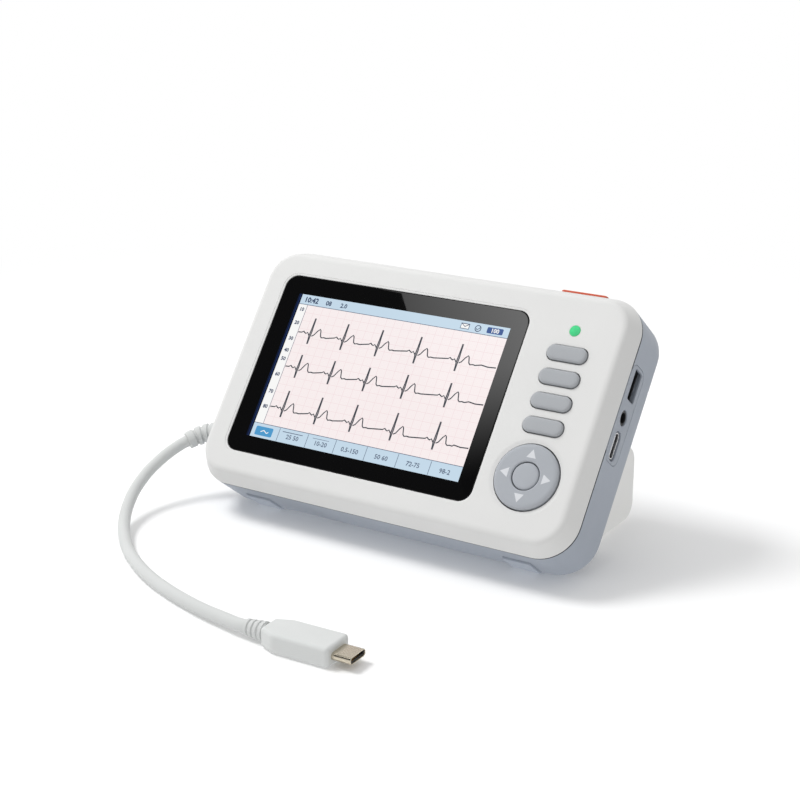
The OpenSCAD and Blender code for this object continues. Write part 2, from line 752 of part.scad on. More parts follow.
socket_end = body_w/2 - panel_t;
module socket_panel() {
    color("lightslategray") leaned() difference() {
        side(socket_end, body_w/2) translate([panel_mid, panel_v]) rounded(panel_w, panel_l, 3.4);
        side(socket_end - over, body_w/2 + over) {
            translate([socket_w + 0.4, lead_v]) rounded(lead_w, lead_l, 0.6);
            translate([socket_w, jack_v]) circle(2.45);
            translate([socket_w, usb_v]) rounded(3.6, 9.3, 1.79);
        }
    }
}

module lead_socket() {
    color("dimgray") leaned() {
        difference() {
            block([socket_end - 12, socket_w - 2.6, lead_v - 6.5], [socket_end, board_w0, lead_v + 6.5]);
            side(socket_end - 9.4, socket_end + over)
                translate([socket_w + 0.4, lead_v]) rounded(lead_w, lead_l, 0.6);
        }
        block([socket_end - 9.6, socket_w - 1.81, lead_v - 4], [socket_end - 0.8, socket_w - 1, lead_v + 4]);
    }
}

module jack_socket() {
    color("black") leaned() difference() {
        union() {
            block([socket_end - 11, socket_w - 2.8, jack_v - 3.1], [socket_end, board_w0, jack_v + 3.1]);
            rod(socket_end - over, body_w/2 - 0.4, socket_w, jack_v, 2.35);
        }
        rod(socket_end - 9.5, body_w/2, socket_w, jack_v, jack_dia/2);
    }
}

module usb_socket() {
    color("silver") leaned() {
        difference() {
            side(socket_end - 7.4, body_w/2 - 0.4) translate([socket_w, usb_v]) rounded(3.3, 9, 1.64);
            side(socket_end - 6.6, body_w/2) translate([socket_w, usb_v]) rounded(2.7, 8.4, 1.34);
        }
        block([socket_end - 6.8, socket_w - 0.35, usb_v - 3.3], [socket_end + 0.6, socket_w + 0.35, usb_v + 3.3]);
        block([socket_end - 7, socket_w + 1.5, usb_v - 3], [socket_end - 0.5, board_w0, usb_v + 3]);
    }
}

// ---------------------------------------------------------------- rear foot

module rear_foot() {
    color("whitesmoke") upright() difference() {
        union() {
            difference() {
                side(-foot_w/2, foot_w/2) polygon(soft_outline(foot_outer, foot_rounding));
                side(-foot_w/2 + foot_t, foot_w/2 - foot_t) polygon(soft_outline(foot_void, void_rounding));
                rod(-foot_w/2 - over, foot_w/2 + over, hinge_at.x, hinge_at.y, swing_r);
            }
            for (sx = [-1, 1]) side(sx*hinge_x - lug_half, sx*hinge_x + lug_half)
                translate(hinge_at) rotate(-foot_slope) {
                    circle(knuckle_r);
                    translate([0, -knuckle_r]) square([12, 2*knuckle_r]);
                }
        }
        rod(-foot_w/2, foot_w/2, hinge_at.x, hinge_at.y, pin_dia/2 + 0.08);
    }
}

module hinge_pins() {
    half = lug_half + run_gap + ear_t;
    color("silver") upright() for (sx = [-1, 1])
        rod(sx*hinge_x - half, sx*hinge_x + half, hinge_at.x, hinge_at.y, pin_dia/2);
}

module foot_pads() {
    y0 = bear_at.x + 2;
    y1 = heel_y - 7;
    color("dimgray") upright() for (sx = [-1, 1])
        translate([sx*(foot_w/2 - 14), (y0 + y1)/2, floor_z]) linear_extrude(pad_t)
            rounded(14, y1 - y0, 3);
}

// ---------------------------------------------------------------- lead and plug

// Ribbed sleeve profile (radius, distance) that narrows from r0 to r1 over the length l
function ribs(r0, r1, l, n) =
    [for (i = [0:n - 1]) let (s = l*i/n, p = l/n, r = r0 + (r1 - r0)*i/n)
        each [[r, s], [r, s + 0.6*p], [r - 0.7, s + 0.68*p], [r - 0.7, s + 0.92*p]]];

// Round bar from point a to point b
module bar(a, b, r) {
    d = b - a;
    translate(a) rotate([0, acos(d.z/norm(d)), atan2(d.y, d.x)]) cylinder(h = norm(d), r = r);
}

// Strain relief: a core that bends with the lead, and a rib round it at every bend
module lead_boot() {
    n = len(boot_path) - 1;
    color("gainsboro") {
        leaned() rod(-body_w/2 + wall, -body_w/2 + wall + 1.2, exit_w, exit_v, 4.6);
        leaned() rod(-body_w/2, -body_w/2 + wall + 0.1, exit_w, exit_v, 3.4);
        for (i = [0:n - 1]) {
            a = boot_path[i];
            b = boot_path[i + 1];
            core = 3.3 - 0.2*i;
            bar(a, b, core);
            if (i < n - 1) translate(b) sphere(core - 0.01);
            bar(a + (b - a)*(i == 0 ? 0 : 0.2), a + (b - a)*0.72, core + 0.7);
        }
    }
}

// Direction of the lead at point i; its ends leave square to what they meet
function heading(i) = i == 0 ? (boot_path[4] - boot_path[3])/norm(boot_path[4] - boot_path[3])
    : i >= len(route) - 2 ? [cos(plug_turn), sin(plug_turn), 0]
    : let (d = route[i + 1] - route[i - 1]) d/norm(d);

module lead() {
    rings = [for (i = [0:len(route) - 1]) let (t = heading(i), s = cross(t, [0, 0, 1]), a = s/norm(s),
             b = cross(a, t)) [for (k = [0:cable_sides - 1]) let (q = 360*k/cable_sides)
             route[i] + cable_dia/2*(cos(q)*a + sin(q)*b)]];
    n = cable_sides;
    last = (len(route) - 1)*n;
    color("gainsboro") polyhedron(
        points = [for (ring = rings) each ring],
        faces = concat([[for (k = [n - 1:-1:0]) k]], [[for (k = [0:n - 1]) last + k]],
            [for (i = [0:len(route) - 2], k = [0:n - 1]) each let (a = i*n + k, b = i*n + (k + 1)%n)
                [[a, b, b + n], [a, b + n, a + n]]]));
}

module at_plug(s) { translate(plug_at) rotate([0, 0, plug_turn]) translate([s, 0, 0]) children(); }

module plug_boot() {
    lip = 0.8;
    color("gainsboro") at_plug(0) rotate([0, 90, 0]) rotate_extrude()
        polygon(concat([[0, 0], [2.5, 0], [2.5, lip]],
                       [for (p = ribs(3, 3.6, plug_boot_l - lip, 3)) p + [-0.35, lip]],
                       [[2.9, plug_boot_l], [0, plug_boot_l]]));
}

module plug_grip() {
    shoulder = 5.5;
    plan = [[0, -grip_w*0.31], [shoulder, -grip_w/2], [grip_l, -grip_w/2],
            [grip_l, grip_w/2], [shoulder, grip_w/2], [0, grip_w*0.31]];
    color("gainsboro") at_plug(plug_boot_l) intersection() {
        translate([0, 0, -grip_t/2]) linear_extrude(grip_t)
            polygon(soft_outline(plan, [0.8, 5, 1, 1, 5, 0.8]));
        rotate([90, 0, 90]) linear_extrude(grip_l) rounded(grip_w, grip_t, 1.7);
    }
}

nose_wall = 0.3;
module plug_nose() {
    color("silver") at_plug(plug_boot_l + grip_l) rotate([90, 0, 90]) linear_extrude(nose_l) difference() {
        pill(nose_w, nose_t);
        pill(nose_w - 2*nose_wall, nose_t - 2*nose_wall);
    }
}

module plug_core() {
    core_w = nose_w - 2*nose_wall;
    core_t = nose_t - 2*nose_wall;
    color("black") at_plug(plug_boot_l + grip_l) rotate([90, 0, 90]) difference() {
        linear_extrude(nose_l - 0.4) pill(core_w, core_t);
        translate([0, 0, 1.5]) linear_extrude(nose_l) pill(core_w - 1, core_t - 0.8);
    }
}

front_shell();
rear_shell();
cover_glass();
glass_adhesive();
lcd_panel();
lcd_tray();
lcd_flex();
main_board();
shield_can();
side_switch();
key_board();
dome_switches();
key_1();
key_2();
key_3();
key_4();
pad_collar();
direction_ring();
ok_button();
lamp_lens();
top_button();
socket_panel();
lead_socket();
jack_socket();
usb_socket();
battery();
battery_lead();
speaker();
case_screws();
board_screws();
front_feet();
rear_foot();
hinge_pins();
foot_pads();
lead_boot();
lead();
plug_boot();
plug_grip();
plug_nose();
plug_core();
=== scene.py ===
"""Home ECG monitor: the finished pieces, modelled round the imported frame.

The housing is drawn upright in its own frame (X to the right, Y back from the face,
Z up the face) and stands leaned back by the tilt. All lengths are metres.
"""
import math

import bmesh
import bpy
from mathutils import Matrix, Vector


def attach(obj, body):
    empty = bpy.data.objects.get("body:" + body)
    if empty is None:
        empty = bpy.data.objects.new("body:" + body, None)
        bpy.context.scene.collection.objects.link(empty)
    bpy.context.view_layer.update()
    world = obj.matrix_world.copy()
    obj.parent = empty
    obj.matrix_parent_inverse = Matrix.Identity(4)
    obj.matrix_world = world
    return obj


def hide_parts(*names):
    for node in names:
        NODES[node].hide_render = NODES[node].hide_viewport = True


bl_info = {
    "name": "Home ECG Monitor",
    "version": (1, 0, 0),
    "blender": (4, 5, 0),
    "location": "3D View > Sidebar > ECG Monitor",
    "description": "Models the housing, screen, keys, sockets, foot and lead of a home ECG monitor",
    "category": "Add Mesh",
}

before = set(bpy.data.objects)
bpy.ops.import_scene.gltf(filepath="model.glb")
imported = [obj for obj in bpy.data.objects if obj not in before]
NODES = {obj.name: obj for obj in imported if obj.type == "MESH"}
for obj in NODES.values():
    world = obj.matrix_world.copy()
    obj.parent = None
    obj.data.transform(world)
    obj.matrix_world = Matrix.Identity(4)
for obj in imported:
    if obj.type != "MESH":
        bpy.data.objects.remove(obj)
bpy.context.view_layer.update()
MM = 0.001
HOUSING_AT = Vector((0.0, -0.0135108, 0.0516410))
TILT = math.radians(37.4)
LEAN = Matrix.Translation(HOUSING_AT) @ Matrix.Rotation(-TILT, 4, "X")
SCREW_IN = 9 * MM  # the case screws from the housing's sides
FINISHES = {}

# Directions that a plate or a turned piece can face, in the housing's own frame
FRONT = Matrix.Rotation(math.radians(90), 4, "X")
BACK = Matrix.Rotation(math.radians(180), 4, "Z") @ FRONT
RIGHT = Matrix.Rotation(math.radians(90), 4, "Z") @ FRONT
LEFT = Matrix.Rotation(math.radians(-90), 4, "Z") @ FRONT
TOP = Matrix.Identity(4)
BOTTOM = Matrix.Rotation(math.radians(180), 4, "X")


# ------------------------------------------------------------ modelling helpers

def mm(*pairs):
    """Pairs typed in millimetres, as metres."""
    return [(a * MM, b * MM) for a, b in pairs]


def leave():
    """Leave edit mode, with the piece still picked."""
    bpy.ops.object.mode_set(mode="OBJECT")


def clear():
    """Leave edit mode and deselect everything."""
    if bpy.context.object and bpy.context.object.mode != "OBJECT":
        leave()
    bpy.ops.object.select_all(action="DESELECT")


def pick(piece):
    """Select a piece alone and make it active."""
    clear()
    piece.select_set(True)
    bpy.context.view_layer.objects.active = piece


def edit(piece, kind="FACE"):
    """Open a piece in edit mode with nothing selected."""
    pick(piece)
    bpy.ops.object.mode_set(mode="EDIT")
    bpy.ops.mesh.select_mode(type=kind)
    bpy.ops.mesh.select_all(action="DESELECT")
    return bmesh.from_edit_mesh(piece.data)


def outward():
    """Select the whole mesh, point its normals outwards and leave edit mode."""
    bpy.ops.mesh.select_all(action="SELECT")
    bpy.ops.mesh.normals_make_consistent(inside=False)
    leave()


def stand(at, facing):
    """Place of a new primitive: its centre and the direction that it faces."""
    return LEAN @ Matrix.Translation(at) @ facing


def settle(name, place, scale=(1, 1, 1)):
    """Give a new primitive its name, and put its place and size in its mesh."""
    piece = bpy.context.object
    piece.name = piece.data.name = name
    piece.matrix_world = place @ Matrix.Diagonal((*scale, 1))
    bpy.ops.object.transform_apply(location=True, rotation=True, scale=True)
    return piece


def plate(name, width, height, radius, place, segments=8):
    """Flat plate with round corners, left in edit mode with its face selected."""
    clear()
    bpy.ops.mesh.primitive_plane_add(size=1)
    piece = settle(name, place, (width, height, 1))
    bpy.ops.object.mode_set(mode="EDIT")
    bpy.ops.mesh.select_mode(type="VERT")
    bpy.ops.mesh.select_all(action="SELECT")
    if radius:
        bpy.ops.mesh.bevel(offset=radius, offset_type="OFFSET", segments=segments,
                           affect="VERTICES", profile=0.5)
    bpy.ops.mesh.select_all(action="SELECT")
    bpy.ops.mesh.select_mode(type="FACE")
    return piece


def rise(steps):
    """Carry the selected face outwards through (inset, height) steps."""
    for inset, height in steps:
        bpy.ops.mesh.inset(thickness=inset, depth=height)


def round_over(radius, count=5, start=0.0, end=90.0):
    """Steps (inset, height) of an arc that turns from a side wall to a flat face."""
    turns = [math.radians(start + (end - start) * i / count) for i in range(count + 1)]
    points = [(radius * (1 - math.cos(t)), radius * math.sin(t)) for t in turns]
    return [(b[0] - a[0], b[1] - a[1]) for a, b in zip(points, points[1:])]


def close_back(piece):
    """Close the open rim at the back of a raised plate."""
    edit(piece, "EDGE")
    bpy.ops.mesh.select_non_manifold()
    bpy.ops.mesh.edge_face_add()
    outward()


def raised(name, width, height, radius, place, steps, segments=8, closed=True):
    """Solid raised from a round-cornered plate through (inset, height) steps."""
    piece = plate(name, width, height, radius, place, segments)
    rise(steps)
    leave()
    if closed:
        close_back(piece)
    return piece


def turned(name, profile, place, segments=48, closed=True):
    """Turned piece: (radius, height) pairs along the direction that it faces."""
    clear()
    bpy.ops.mesh.primitive_circle_add(vertices=segments, radius=profile[0][0], fill_type="NOTHING")
    first = place @ Matrix.Translation((0, 0, profile[0][1]))
    piece = settle(name, first)
    axis = (place.to_3x3() @ Vector((0, 0, 1))).normalized()
    middle = first.translation
    bpy.ops.object.mode_set(mode="EDIT")
    bpy.ops.mesh.select_mode(type="VERT")
    bpy.ops.mesh.select_all(action="SELECT")
    if closed:
        bpy.ops.mesh.edge_face_add()
        bpy.ops.mesh.select_all(action="SELECT")
        bpy.ops.mesh.select_mode(type="FACE")
    for (r0, h0), (r1, h1) in zip(profile, profile[1:]):
        step = axis * (h1 - h0)
        bpy.ops.mesh.extrude_region_move(TRANSFORM_OT_translate={"value": step})
        middle = middle + step
        if abs(r1 - r0) > 1e-9:
            bpy.ops.transform.resize(value=(r1 / r0,) * 3, center_override=middle)
    outward()
    return piece


def outlined(name, points, place, thickness, radii=None, segments=6):
    """Prism: an outline of (x, y) points on a plate, its corners rounded, raised by a thickness."""
    clear()
    bpy.ops.mesh.primitive_circle_add(vertices=len(points), radius=1, fill_type="NGON")
    piece = bpy.context.object
    for vertex, point in zip(piece.data.vertices, points):
        vertex.co = (point[0], point[1], 0)
    settle(name, place)
    for i, radius in enumerate(radii or ()):
        if radius:
            mesh = edit(piece, "VERT")
            corner = place @ Vector((points[i][0], points[i][1], 0))
            for v in mesh.verts:
                v.select = (v.co - corner).length < 1e-6
            mesh.select_flush_mode()
            bmesh.update_edit_mesh(piece.data)
            here = Vector(points[i])
            after = Vector(points[(i + 1) % len(points)])
            half = (Vector(points[i - 1]) - here).angle(after - here) / 2
            bpy.ops.mesh.bevel(offset=radius / math.tan(half), offset_type="OFFSET",
                               segments=segments, affect="VERTICES", profile=0.5)
    edit(piece, "FACE")
    bpy.ops.mesh.select_all(action="SELECT")
    way = (place.to_3x3() @ Vector((0, 0, 1))).normalized()
    bpy.ops.mesh.extrude_region_move(TRANSFORM_OT_translate={"value": way * thickness})
    outward()
    return piece


def modify(piece, kind, **settings):
    """Add a modifier with these settings and apply it."""
    pick(piece)
    bpy.ops.object.modifier_add(type=kind)
    modifier = piece.modifiers[-1]
    for key, value in settings.items():
        setattr(modifier, key, value)
    bpy.ops.object.modifier_apply(modifier=modifier.name)


def cut(piece, *cutters):
    """Take the cutters out of a piece."""
    for cutter in cutters:
        modify(piece, "BOOLEAN", operation="DIFFERENCE", solver="EXACT", object=cutter)
        bpy.data.objects.remove(cutter)


def joined(first, *others):
    """Join loose solids into the first."""
    pick(first)
    for other in others:
        other.select_set(True)
    bpy.ops.object.join()
    return first


def copied(piece, name, offset):
    """Copy of a finished solid with its own mesh, moved by an offset in the housing's frame."""
    pick(piece)
    bpy.ops.object.duplicate(linked=False)
    twin = bpy.context.object
    twin.name = twin.data.name = name
    twin.location = LEAN.to_3x3() @ Vector(offset)
    bpy.ops.object.transform_apply(location=True, rotation=False, scale=False)
    return twin


def soften(piece, width, segments=3, angle=35):
    """Round the sharp edges of a piece."""
    modify(piece, "BEVEL", width=width, segments=segments, limit_method="ANGLE",
           angle_limit=math.radians(angle), use_clamp_overlap=True)


def finish_piece(piece, finish, body="base", smooth=35):
    """Shade a piece, give it its finish and let it ride on its body."""
    pick(piece)
    bpy.ops.object.shade_smooth_by_angle(angle=math.radians(smooth))
    modify(piece, "WEIGHTED_NORMAL", keep_sharp=True, weight=100)
    piece.data.materials.clear()
    piece.data.materials.append(FINISHES[finish])
    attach(piece, body)


def tube(name, points, radii, place=None, sides=6):
    """Round tube along points, with its own radius at each, as a closed mesh."""
    clear()
    bpy.ops.curve.primitive_nurbs_path_add()
    curve = bpy.context.object
    curve.name = name
    curve.location = (0, 0, 0)
    curve.data.splines.clear()
    spline = curve.data.splines.new("POLY")
    spline.points.add(len(points) - 1)
    for knot, point, radius in zip(spline.points, points, radii):
        knot.co = (*point, 1)
        knot.radius = radius / radii[0]
    curve.data.bevel_depth = radii[0]
    curve.data.bevel_resolution = sides
    curve.data.use_fill_caps = True
    curve.data.twist_mode = "MINIMUM"
    bpy.ops.object.convert(target="MESH")
    piece = bpy.context.object
    piece.name = piece.data.name = name
    edit(piece, "VERT")
    bpy.ops.mesh.select_all(action="SELECT")
    bpy.ops.mesh.remove_doubles(threshold=1e-7)
    outward()
    return piece


# ------------------------------------------------------------ finishes

def shade(tree, kind, links=None, values=None, **settings):
    """Add a shader node, set its settings and values, and link sockets to its inputs."""
    node = tree.nodes.new("ShaderNode" + kind)
    for key, value in settings.items():
        setattr(node, key, value)
    for key, value in (values or {}).items():
        node.inputs[key].default_value = value
    for key, socket in (links or {}).items():
        tree.links.new(socket, node.inputs[key])
    return node


def maths(tree, operation, first, second=0.5):
    """Result of a sum on two sockets, or on a socket and a number."""
    if isinstance(second, (int, float)):
        return shade(tree, "Math", {0: first}, {1: second}, operation=operation).outputs[0]
    return shade(tree, "Math", {0: first, 1: second}, operation=operation).outputs[0]


def new_finish(name, colour, roughness, metallic=0.0, specular=0.5, coat=0.0):
    """Plain shader with its even values on its own sockets."""
    finish = bpy.data.materials.new(name)
    finish.use_nodes = True
    shader = finish.node_tree.nodes["Principled BSDF"]
    for key, value in (("Base Color", (*colour, 1)), ("Roughness", roughness), ("Metallic", metallic),
                       ("Specular IOR Level", specular), ("Coat Weight", coat), ("Coat Roughness", 0.08)):
        shader.inputs[key].default_value = value
    FINISHES[name] = finish
    return finish.node_tree, shader


def noise(tree, coords, size, detail=2.0):
    """Noise whose features are about this large."""
    return shade(tree, "TexNoise", {"Vector": coords}, {"Scale": 1 / size, "Detail": detail}).outputs["Fac"]


def spread(tree, value, low, high, start=0.3, end=0.7, **settings):
    """Map a value from one range to another."""
    ends = {"From Min": start, "From Max": end, "To Min": low, "To Max": high}
    return shade(tree, "MapRange", {"Value": value}, ends, **settings).outputs["Result"]


def tint(tree, value, colour, amount):
    """Colour that strays by an amount to both sides as a value goes from 0 to 1."""
    ends = {"A": (*[c * (1 - amount) for c in colour], 1),
            "B": (*[min(1, c * (1 + amount)) for c in colour], 1)}
    return shade(tree, "Mix", {"Factor": value}, ends, data_type="RGBA").outputs["Result"]


def coords_of(tree, kind="Object"):
    """Texture coordinates of the piece."""
    return shade(tree, "TexCoord").outputs[kind]


def bump(tree, shader, height, distance, strength=1.0):
    """Fine relief from a height."""
    node = shade(tree, "Bump", {"Height": height}, {"Distance": distance, "Strength": strength})
    tree.links.new(node.outputs["Normal"], shader.inputs["Normal"])


def moulded(name, colour, roughness, grain=0.35 * MM, depth=0.01 * MM, stray=0.02, **more):
    """Moulded plastic or rubber: fine spark-eroded grain, faint mottling, uneven gloss."""
    tree, shader = new_finish(name, colour, roughness, **more)
    coords = coords_of(tree)
    mottle = spread(tree, noise(tree, coords, 14 * MM, 3), 0, 1)
    tree.links.new(tint(tree, mottle, colour, stray), shader.inputs["Base Color"])
    gloss = spread(tree, noise(tree, coords, 6 * MM, 4), roughness - 0.05, roughness + 0.05)
    tree.links.new(gloss, shader.inputs["Roughness"])
    bump(tree, shader, noise(tree, coords, grain, 2), depth)


def metal(name, colour, roughness, grain=0.2 * MM, stretch=(1, 1, 1), depth=0.004 * MM):
    """Drawn or stamped metal: fine directional grain and uneven gloss."""
    tree, shader = new_finish(name, colour, roughness, metallic=1.0)
    coords = coords_of(tree)
    mapping = shade(tree, "Mapping", {"Vector": coords}, {"Scale": stretch})
    lines = noise(tree, mapping.outputs["Vector"], grain, 3)
    tree.links.new(spread(tree, lines, roughness - 0.06, roughness + 0.08), shader.inputs["Roughness"])
    cloud = spread(tree, noise(tree, coords, 3 * MM), 0, 1)
    tree.links.new(tint(tree, cloud, colour, 0.04), shader.inputs["Base Color"])
    bump(tree, shader, lines, depth)


def board_finish(name):
    """Circuit board: solder mask over copper tracks, with tinned pads."""
    tree, shader = new_finish(name, (0.02, 0.13, 0.06), 0.35)
    coords = coords_of(tree)
    turn = shade(tree, "Mapping", {"Vector": coords}, {"Rotation": (TILT - math.pi / 2, 0, 0)})
    cells = shade(tree, "TexBrick", {"Vector": turn.outputs["Vector"]},
                  {"Scale": 1 / (9 * MM), "Mortar Size": 0.03, "Color1": (0.016, 0.11, 0.05, 1),
                   "Color2": (0.024, 0.15, 0.07, 1), "Mortar": (0.05, 0.26, 0.11, 1)})
    tree.links.new(cells.outputs["Color"], shader.inputs["Base Color"])
    tree.links.new(spread(tree, noise(tree, coords, 2 * MM), 0.28, 0.42), shader.inputs["Roughness"])
    bump(tree, shader, cells.outputs["Fac"], 0.03 * MM)


def lit(name, colour, strength, roughness=0.06):
    """Lit part of the picture, with the gloss of the glass over it."""
    tree, shader = new_finish(name, (0.0, 0.0, 0.0), roughness, specular=0.1)
    shader.inputs["Emission Color"].default_value = (*colour, 1)
    shader.inputs["Emission Strength"].default_value = strength
    coords = coords_of(tree)
    glow = tint(tree, spread(tree, noise(tree, coords, 30 * MM, 1), 0, 1), colour, 0.012)
    tree.links.new(glow, shader.inputs["Emission Color"])
    gloss = spread(tree, noise(tree, coords, 4 * MM, 3), roughness - 0.02, roughness + 0.02)
    tree.links.new(gloss, shader.inputs["Roughness"])
    return tree, shader, glow


def chart_paper(name, colour, line, heavy, strength, columns, rows):
    """Lit chart page: fine squares and heavier lines that follow the page's own UV map."""
    tree, shader, base = lit(name, colour, strength)
    uv = shade(tree, "SeparateXYZ", {"Vector": coords_of(tree, "UV")})
    for count, width, tone in ((5, 0.022, line), (1, 0.05, heavy)):
        lines = []
        for axis, total in (("X", columns), ("Y", rows)):
            part = maths(tree, "FRACT", maths(tree, "MULTIPLY", uv.outputs[axis], total * count))
            lines.append(maths(tree, "LESS_THAN", part, width * count))
        base = shade(tree, "Mix", {"A": base, "Factor": maths(tree, "MAXIMUM", *lines)},
                     {"B": (*tone, 1)}, data_type="RGBA").outputs["Result"]
    tree.links.new(base, shader.inputs["Emission Color"])


def srgb(r, g, b):
    """Colour as seen on a screen (0 to 255) to the linear values that shaders take."""
    shares = [value / 255 for value in (r, g, b)]
    return tuple(c / 12.92 if c <= 0.04045 else ((c + 0.055) / 1.055) ** 2.4 for c in shares)


# ------------------------------------------------------------ settings

def length(name, default, description):
    return bpy.props.FloatProperty(name=name, description=description, default=default * MM,
                                   min=0, unit="LENGTH", precision=4)


def colour(name, default, description):
    return bpy.props.FloatVectorProperty(name=name, description=description, default=default,
                                         min=0, max=1, size=3, subtype="COLOR")


class EcgHousing(bpy.types.PropertyGroup):
    width: length("Width", 148, "Width of the housing")
    height: length("Height", 90.5, "Height of the housing, measured up the face")
    depth: length("Depth", 27, "Depth from the flat face to the rear wall")
    corner: length("Corner radius", 13, "Corner radius seen from the front")
    wall: length("Wall", 2.4, "Wall thickness of both shells")
    seam: length("Seam depth", 6.4, "Depth of the seam behind the flat face")
    groove: length("Seam groove", 0.7, "Width and depth of the shadow groove along the seam")
    bevel: length("Bevel", 2.601, "How far the slope beside the face draws in")
    bevel_depth: length("Bevel depth", 1.354, "Depth at which the slope meets the soft edge")
    soft: length("Soft edge", 2.5, "Radius of the soft edge round the face")
    rear: length("Rear radius", 3, "Radius of the rear edge")


class EcgScreen(bpy.types.PropertyGroup):
    glass_width: length("Glass width", 99.2, "Width of the cover glass")
    glass_height: length("Glass height", 68, "Height of the cover glass")
    glass_x: length("Glass right", -12.9, "Middle of the glass, right of the housing's middle")
    glass_v: length("Glass up", -0.1, "Middle of the glass, above the housing's middle")
    glass_corner: length("Glass corner", 4.6, "Corner radius of the cover glass")
    width: length("Picture width", 84.6, "Width of the lit picture")
    height: length("Picture height", 55, "Height of the lit picture")
    x: length("Picture right", -11.6, "Middle of the picture, right of the housing's middle")
    v: length("Picture up", -0.4, "Middle of the picture, above the housing's middle")
    light: bpy.props.FloatProperty(name="Picture light", description="Strength of the lit picture",
                                   default=0.95, min=0, max=5)


class EcgKeys(bpy.types.PropertyGroup):
    x: length("Column", 53.7, "Centre line of the keys, right of the housing's middle")
    top: length("Top key", 21.4, "Height of the top key above the housing's middle")
    pitch: length("Pitch", 8.5, "Spacing of the pill keys")
    long: length("Key length", 14.3, "Length of a pill key")
    high: length("Key height", 5.3, "Height of a pill key")
    proud: length("Stand-out", 1.3, "How far the keys stand proud of the face")
    edge: length("Edge radius", 0.9, "Radius round the top of a pill key")
    pad: length("Pad height", -21.5, "Height of the direction ring's middle")
    ring: length("Ring radius", 11.1, "Outer radius of the direction ring")
    button: length("Button radius", 4.6, "Radius of the round button in the ring")
    lamp: length("Lamp height", 29.8, "Height of the lamp above the housing's middle")
    lamp_width: length("Lamp width", 3.8, "Diameter of the lamp")
    top_x: length("Top button", 48.4, "Middle of the top button, right of the housing's middle")
    top_long: length("Top button length", 17.2, "Length of the top button")
    top_wide: length("Top button width", 8, "Width of the top button, front to back")
    top_proud: length("Top button stand-out", 1.5, "How far the top button stands proud")


class EcgSockets(bpy.types.PropertyGroup):
    long: length("Panel length", 33.3, "Length of the socket panel")
    wide: length("Panel width", 11.2, "Width of the socket panel")
    w: length("Panel depth", 12.6, "Middle of the panel behind the flat face")
    v: length("Panel height", 8.55, "Middle of the panel above the housing's middle")
    lead: length("Lead socket", 18.9, "Height of the lead socket")
    jack: length("Jack", 7.5, "Height of the jack")
    usb: length("Charging socket", -2.2, "Height of the charging socket")
    line: length("Depth of the sockets", 12.5, "Socket centres behind the flat face")


class EcgFoot(bpy.types.PropertyGroup):
    width: length("Width", 124, "Width of the rear foot")
    wall: length("Wall", 2.5, "Wall thickness of the rear foot")
    hinge: length("Hinge height", 7, "Height of the hinge above the housing's middle")
    hinge_out: length("Hinge stand-off", 4.5, "Distance of the hinge behind the rear wall")
    reach: length("Reach", 22.8, "Reach of the foot behind the hinge")
    slope: bpy.props.FloatProperty(name="Slope", description="Slope of the foot's upper side below level",
                                   default=math.radians(39), subtype="ANGLE")
    bear: length("Bearing edge", 19, "Length of the edge that bears on the rear wall")
    lug: length("Hinge place", 50, "Distance of each hinge from the middle")
    front_x: length("Front foot place", 52, "Distance of each front foot from the middle")
    front_long: length("Front foot length", 10, "Length of each front foot")
    proud: length("Front foot stand-out", 0.8, "How far the front feet stand proud")


class EcgLead(bpy.types.PropertyGroup):
    thick: length("Thickness", 4.2, "Diameter of the lead")
    exit_w: length("Exit depth", 11.9, "Depth of the lead's exit behind the flat face")
    exit_v: length("Exit height", -26.9, "Height of the lead's exit")
    grip_long: length("Grip length", 25, "Length of the plug's grip")
    grip_wide: length("Grip width", 12.3, "Width of the plug's grip")
    grip_thick: length("Grip thickness", 6.5, "Thickness of the plug's grip")
    nose_long: length("Plug length", 6.65, "Length of the plug's metal shell")
    nose_wide: length("Plug width", 8.25, "Width of the plug's metal shell")
    nose_thick: length("Plug thickness", 2.4, "Thickness of the plug's metal shell")


class EcgColours(bpy.types.PropertyGroup):
    white: colour("Front shell", srgb(216, 216, 215), "Warm white of the front shell")
    grey: colour("Rear shell", srgb(156, 163, 174), "Blue-grey of the rear shell")
    foot: colour("Rear foot", srgb(228, 228, 226), "White of the rear foot")
    keys: colour("Keys", srgb(164, 167, 171), "Grey of the keys")
    ring: colour("Direction ring", srgb(165, 169, 175), "Grey of the direction ring")
    orange: colour("Top button", srgb(204, 90, 60), "Orange of the top button")
    lamp: colour("Lamp", srgb(60, 190, 122), "Green of the lamp")
    lead: colour("Lead", srgb(203, 205, 204), "Pale grey of the lead")
    nickel: colour("Plug metal", srgb(205, 196, 178), "Warm nickel of the plug")
    page: colour("Page", srgb(255, 245, 245), "Pale pink of the page on the screen")
    bar: colour("Bars", srgb(202, 223, 239), "Pale blue of the bars on the screen")
    trace: colour("Trace", srgb(66, 73, 80), "Dark line of the traces")


class EcgStage(bpy.types.PropertyGroup):
    lamp: bpy.props.FloatProperty(name="Main lamp", description="Power of the large lamp, in watts",
                                  default=7.6, min=0)
    sky: bpy.props.FloatProperty(name="Room light", description="Strength of the even light",
                                 default=0.85, min=0)
    panel: bpy.props.FloatProperty(name="Reflected panel", default=3.3, min=0,
                                   description="Strength of the soft panel seen in the glass")


# ------------------------------------------------------------ shapes shared by pieces

def opening(name, width, height, radius, at, facing, flare, depth, start=0.8 * MM):
    """Cutter for a hole with a softly rounded rim: facing points into the wall."""
    place = stand(at, facing) @ Matrix.Translation((0, 0, -start))
    rim = [(height_, inset) for inset, height_ in round_over(flare, 4)] if flare else []
    return raised(name, width + 2 * flare, height + 2 * flare, radius + flare, place,
                  [(0, start)] + rim + [(0, depth)], segments=10)


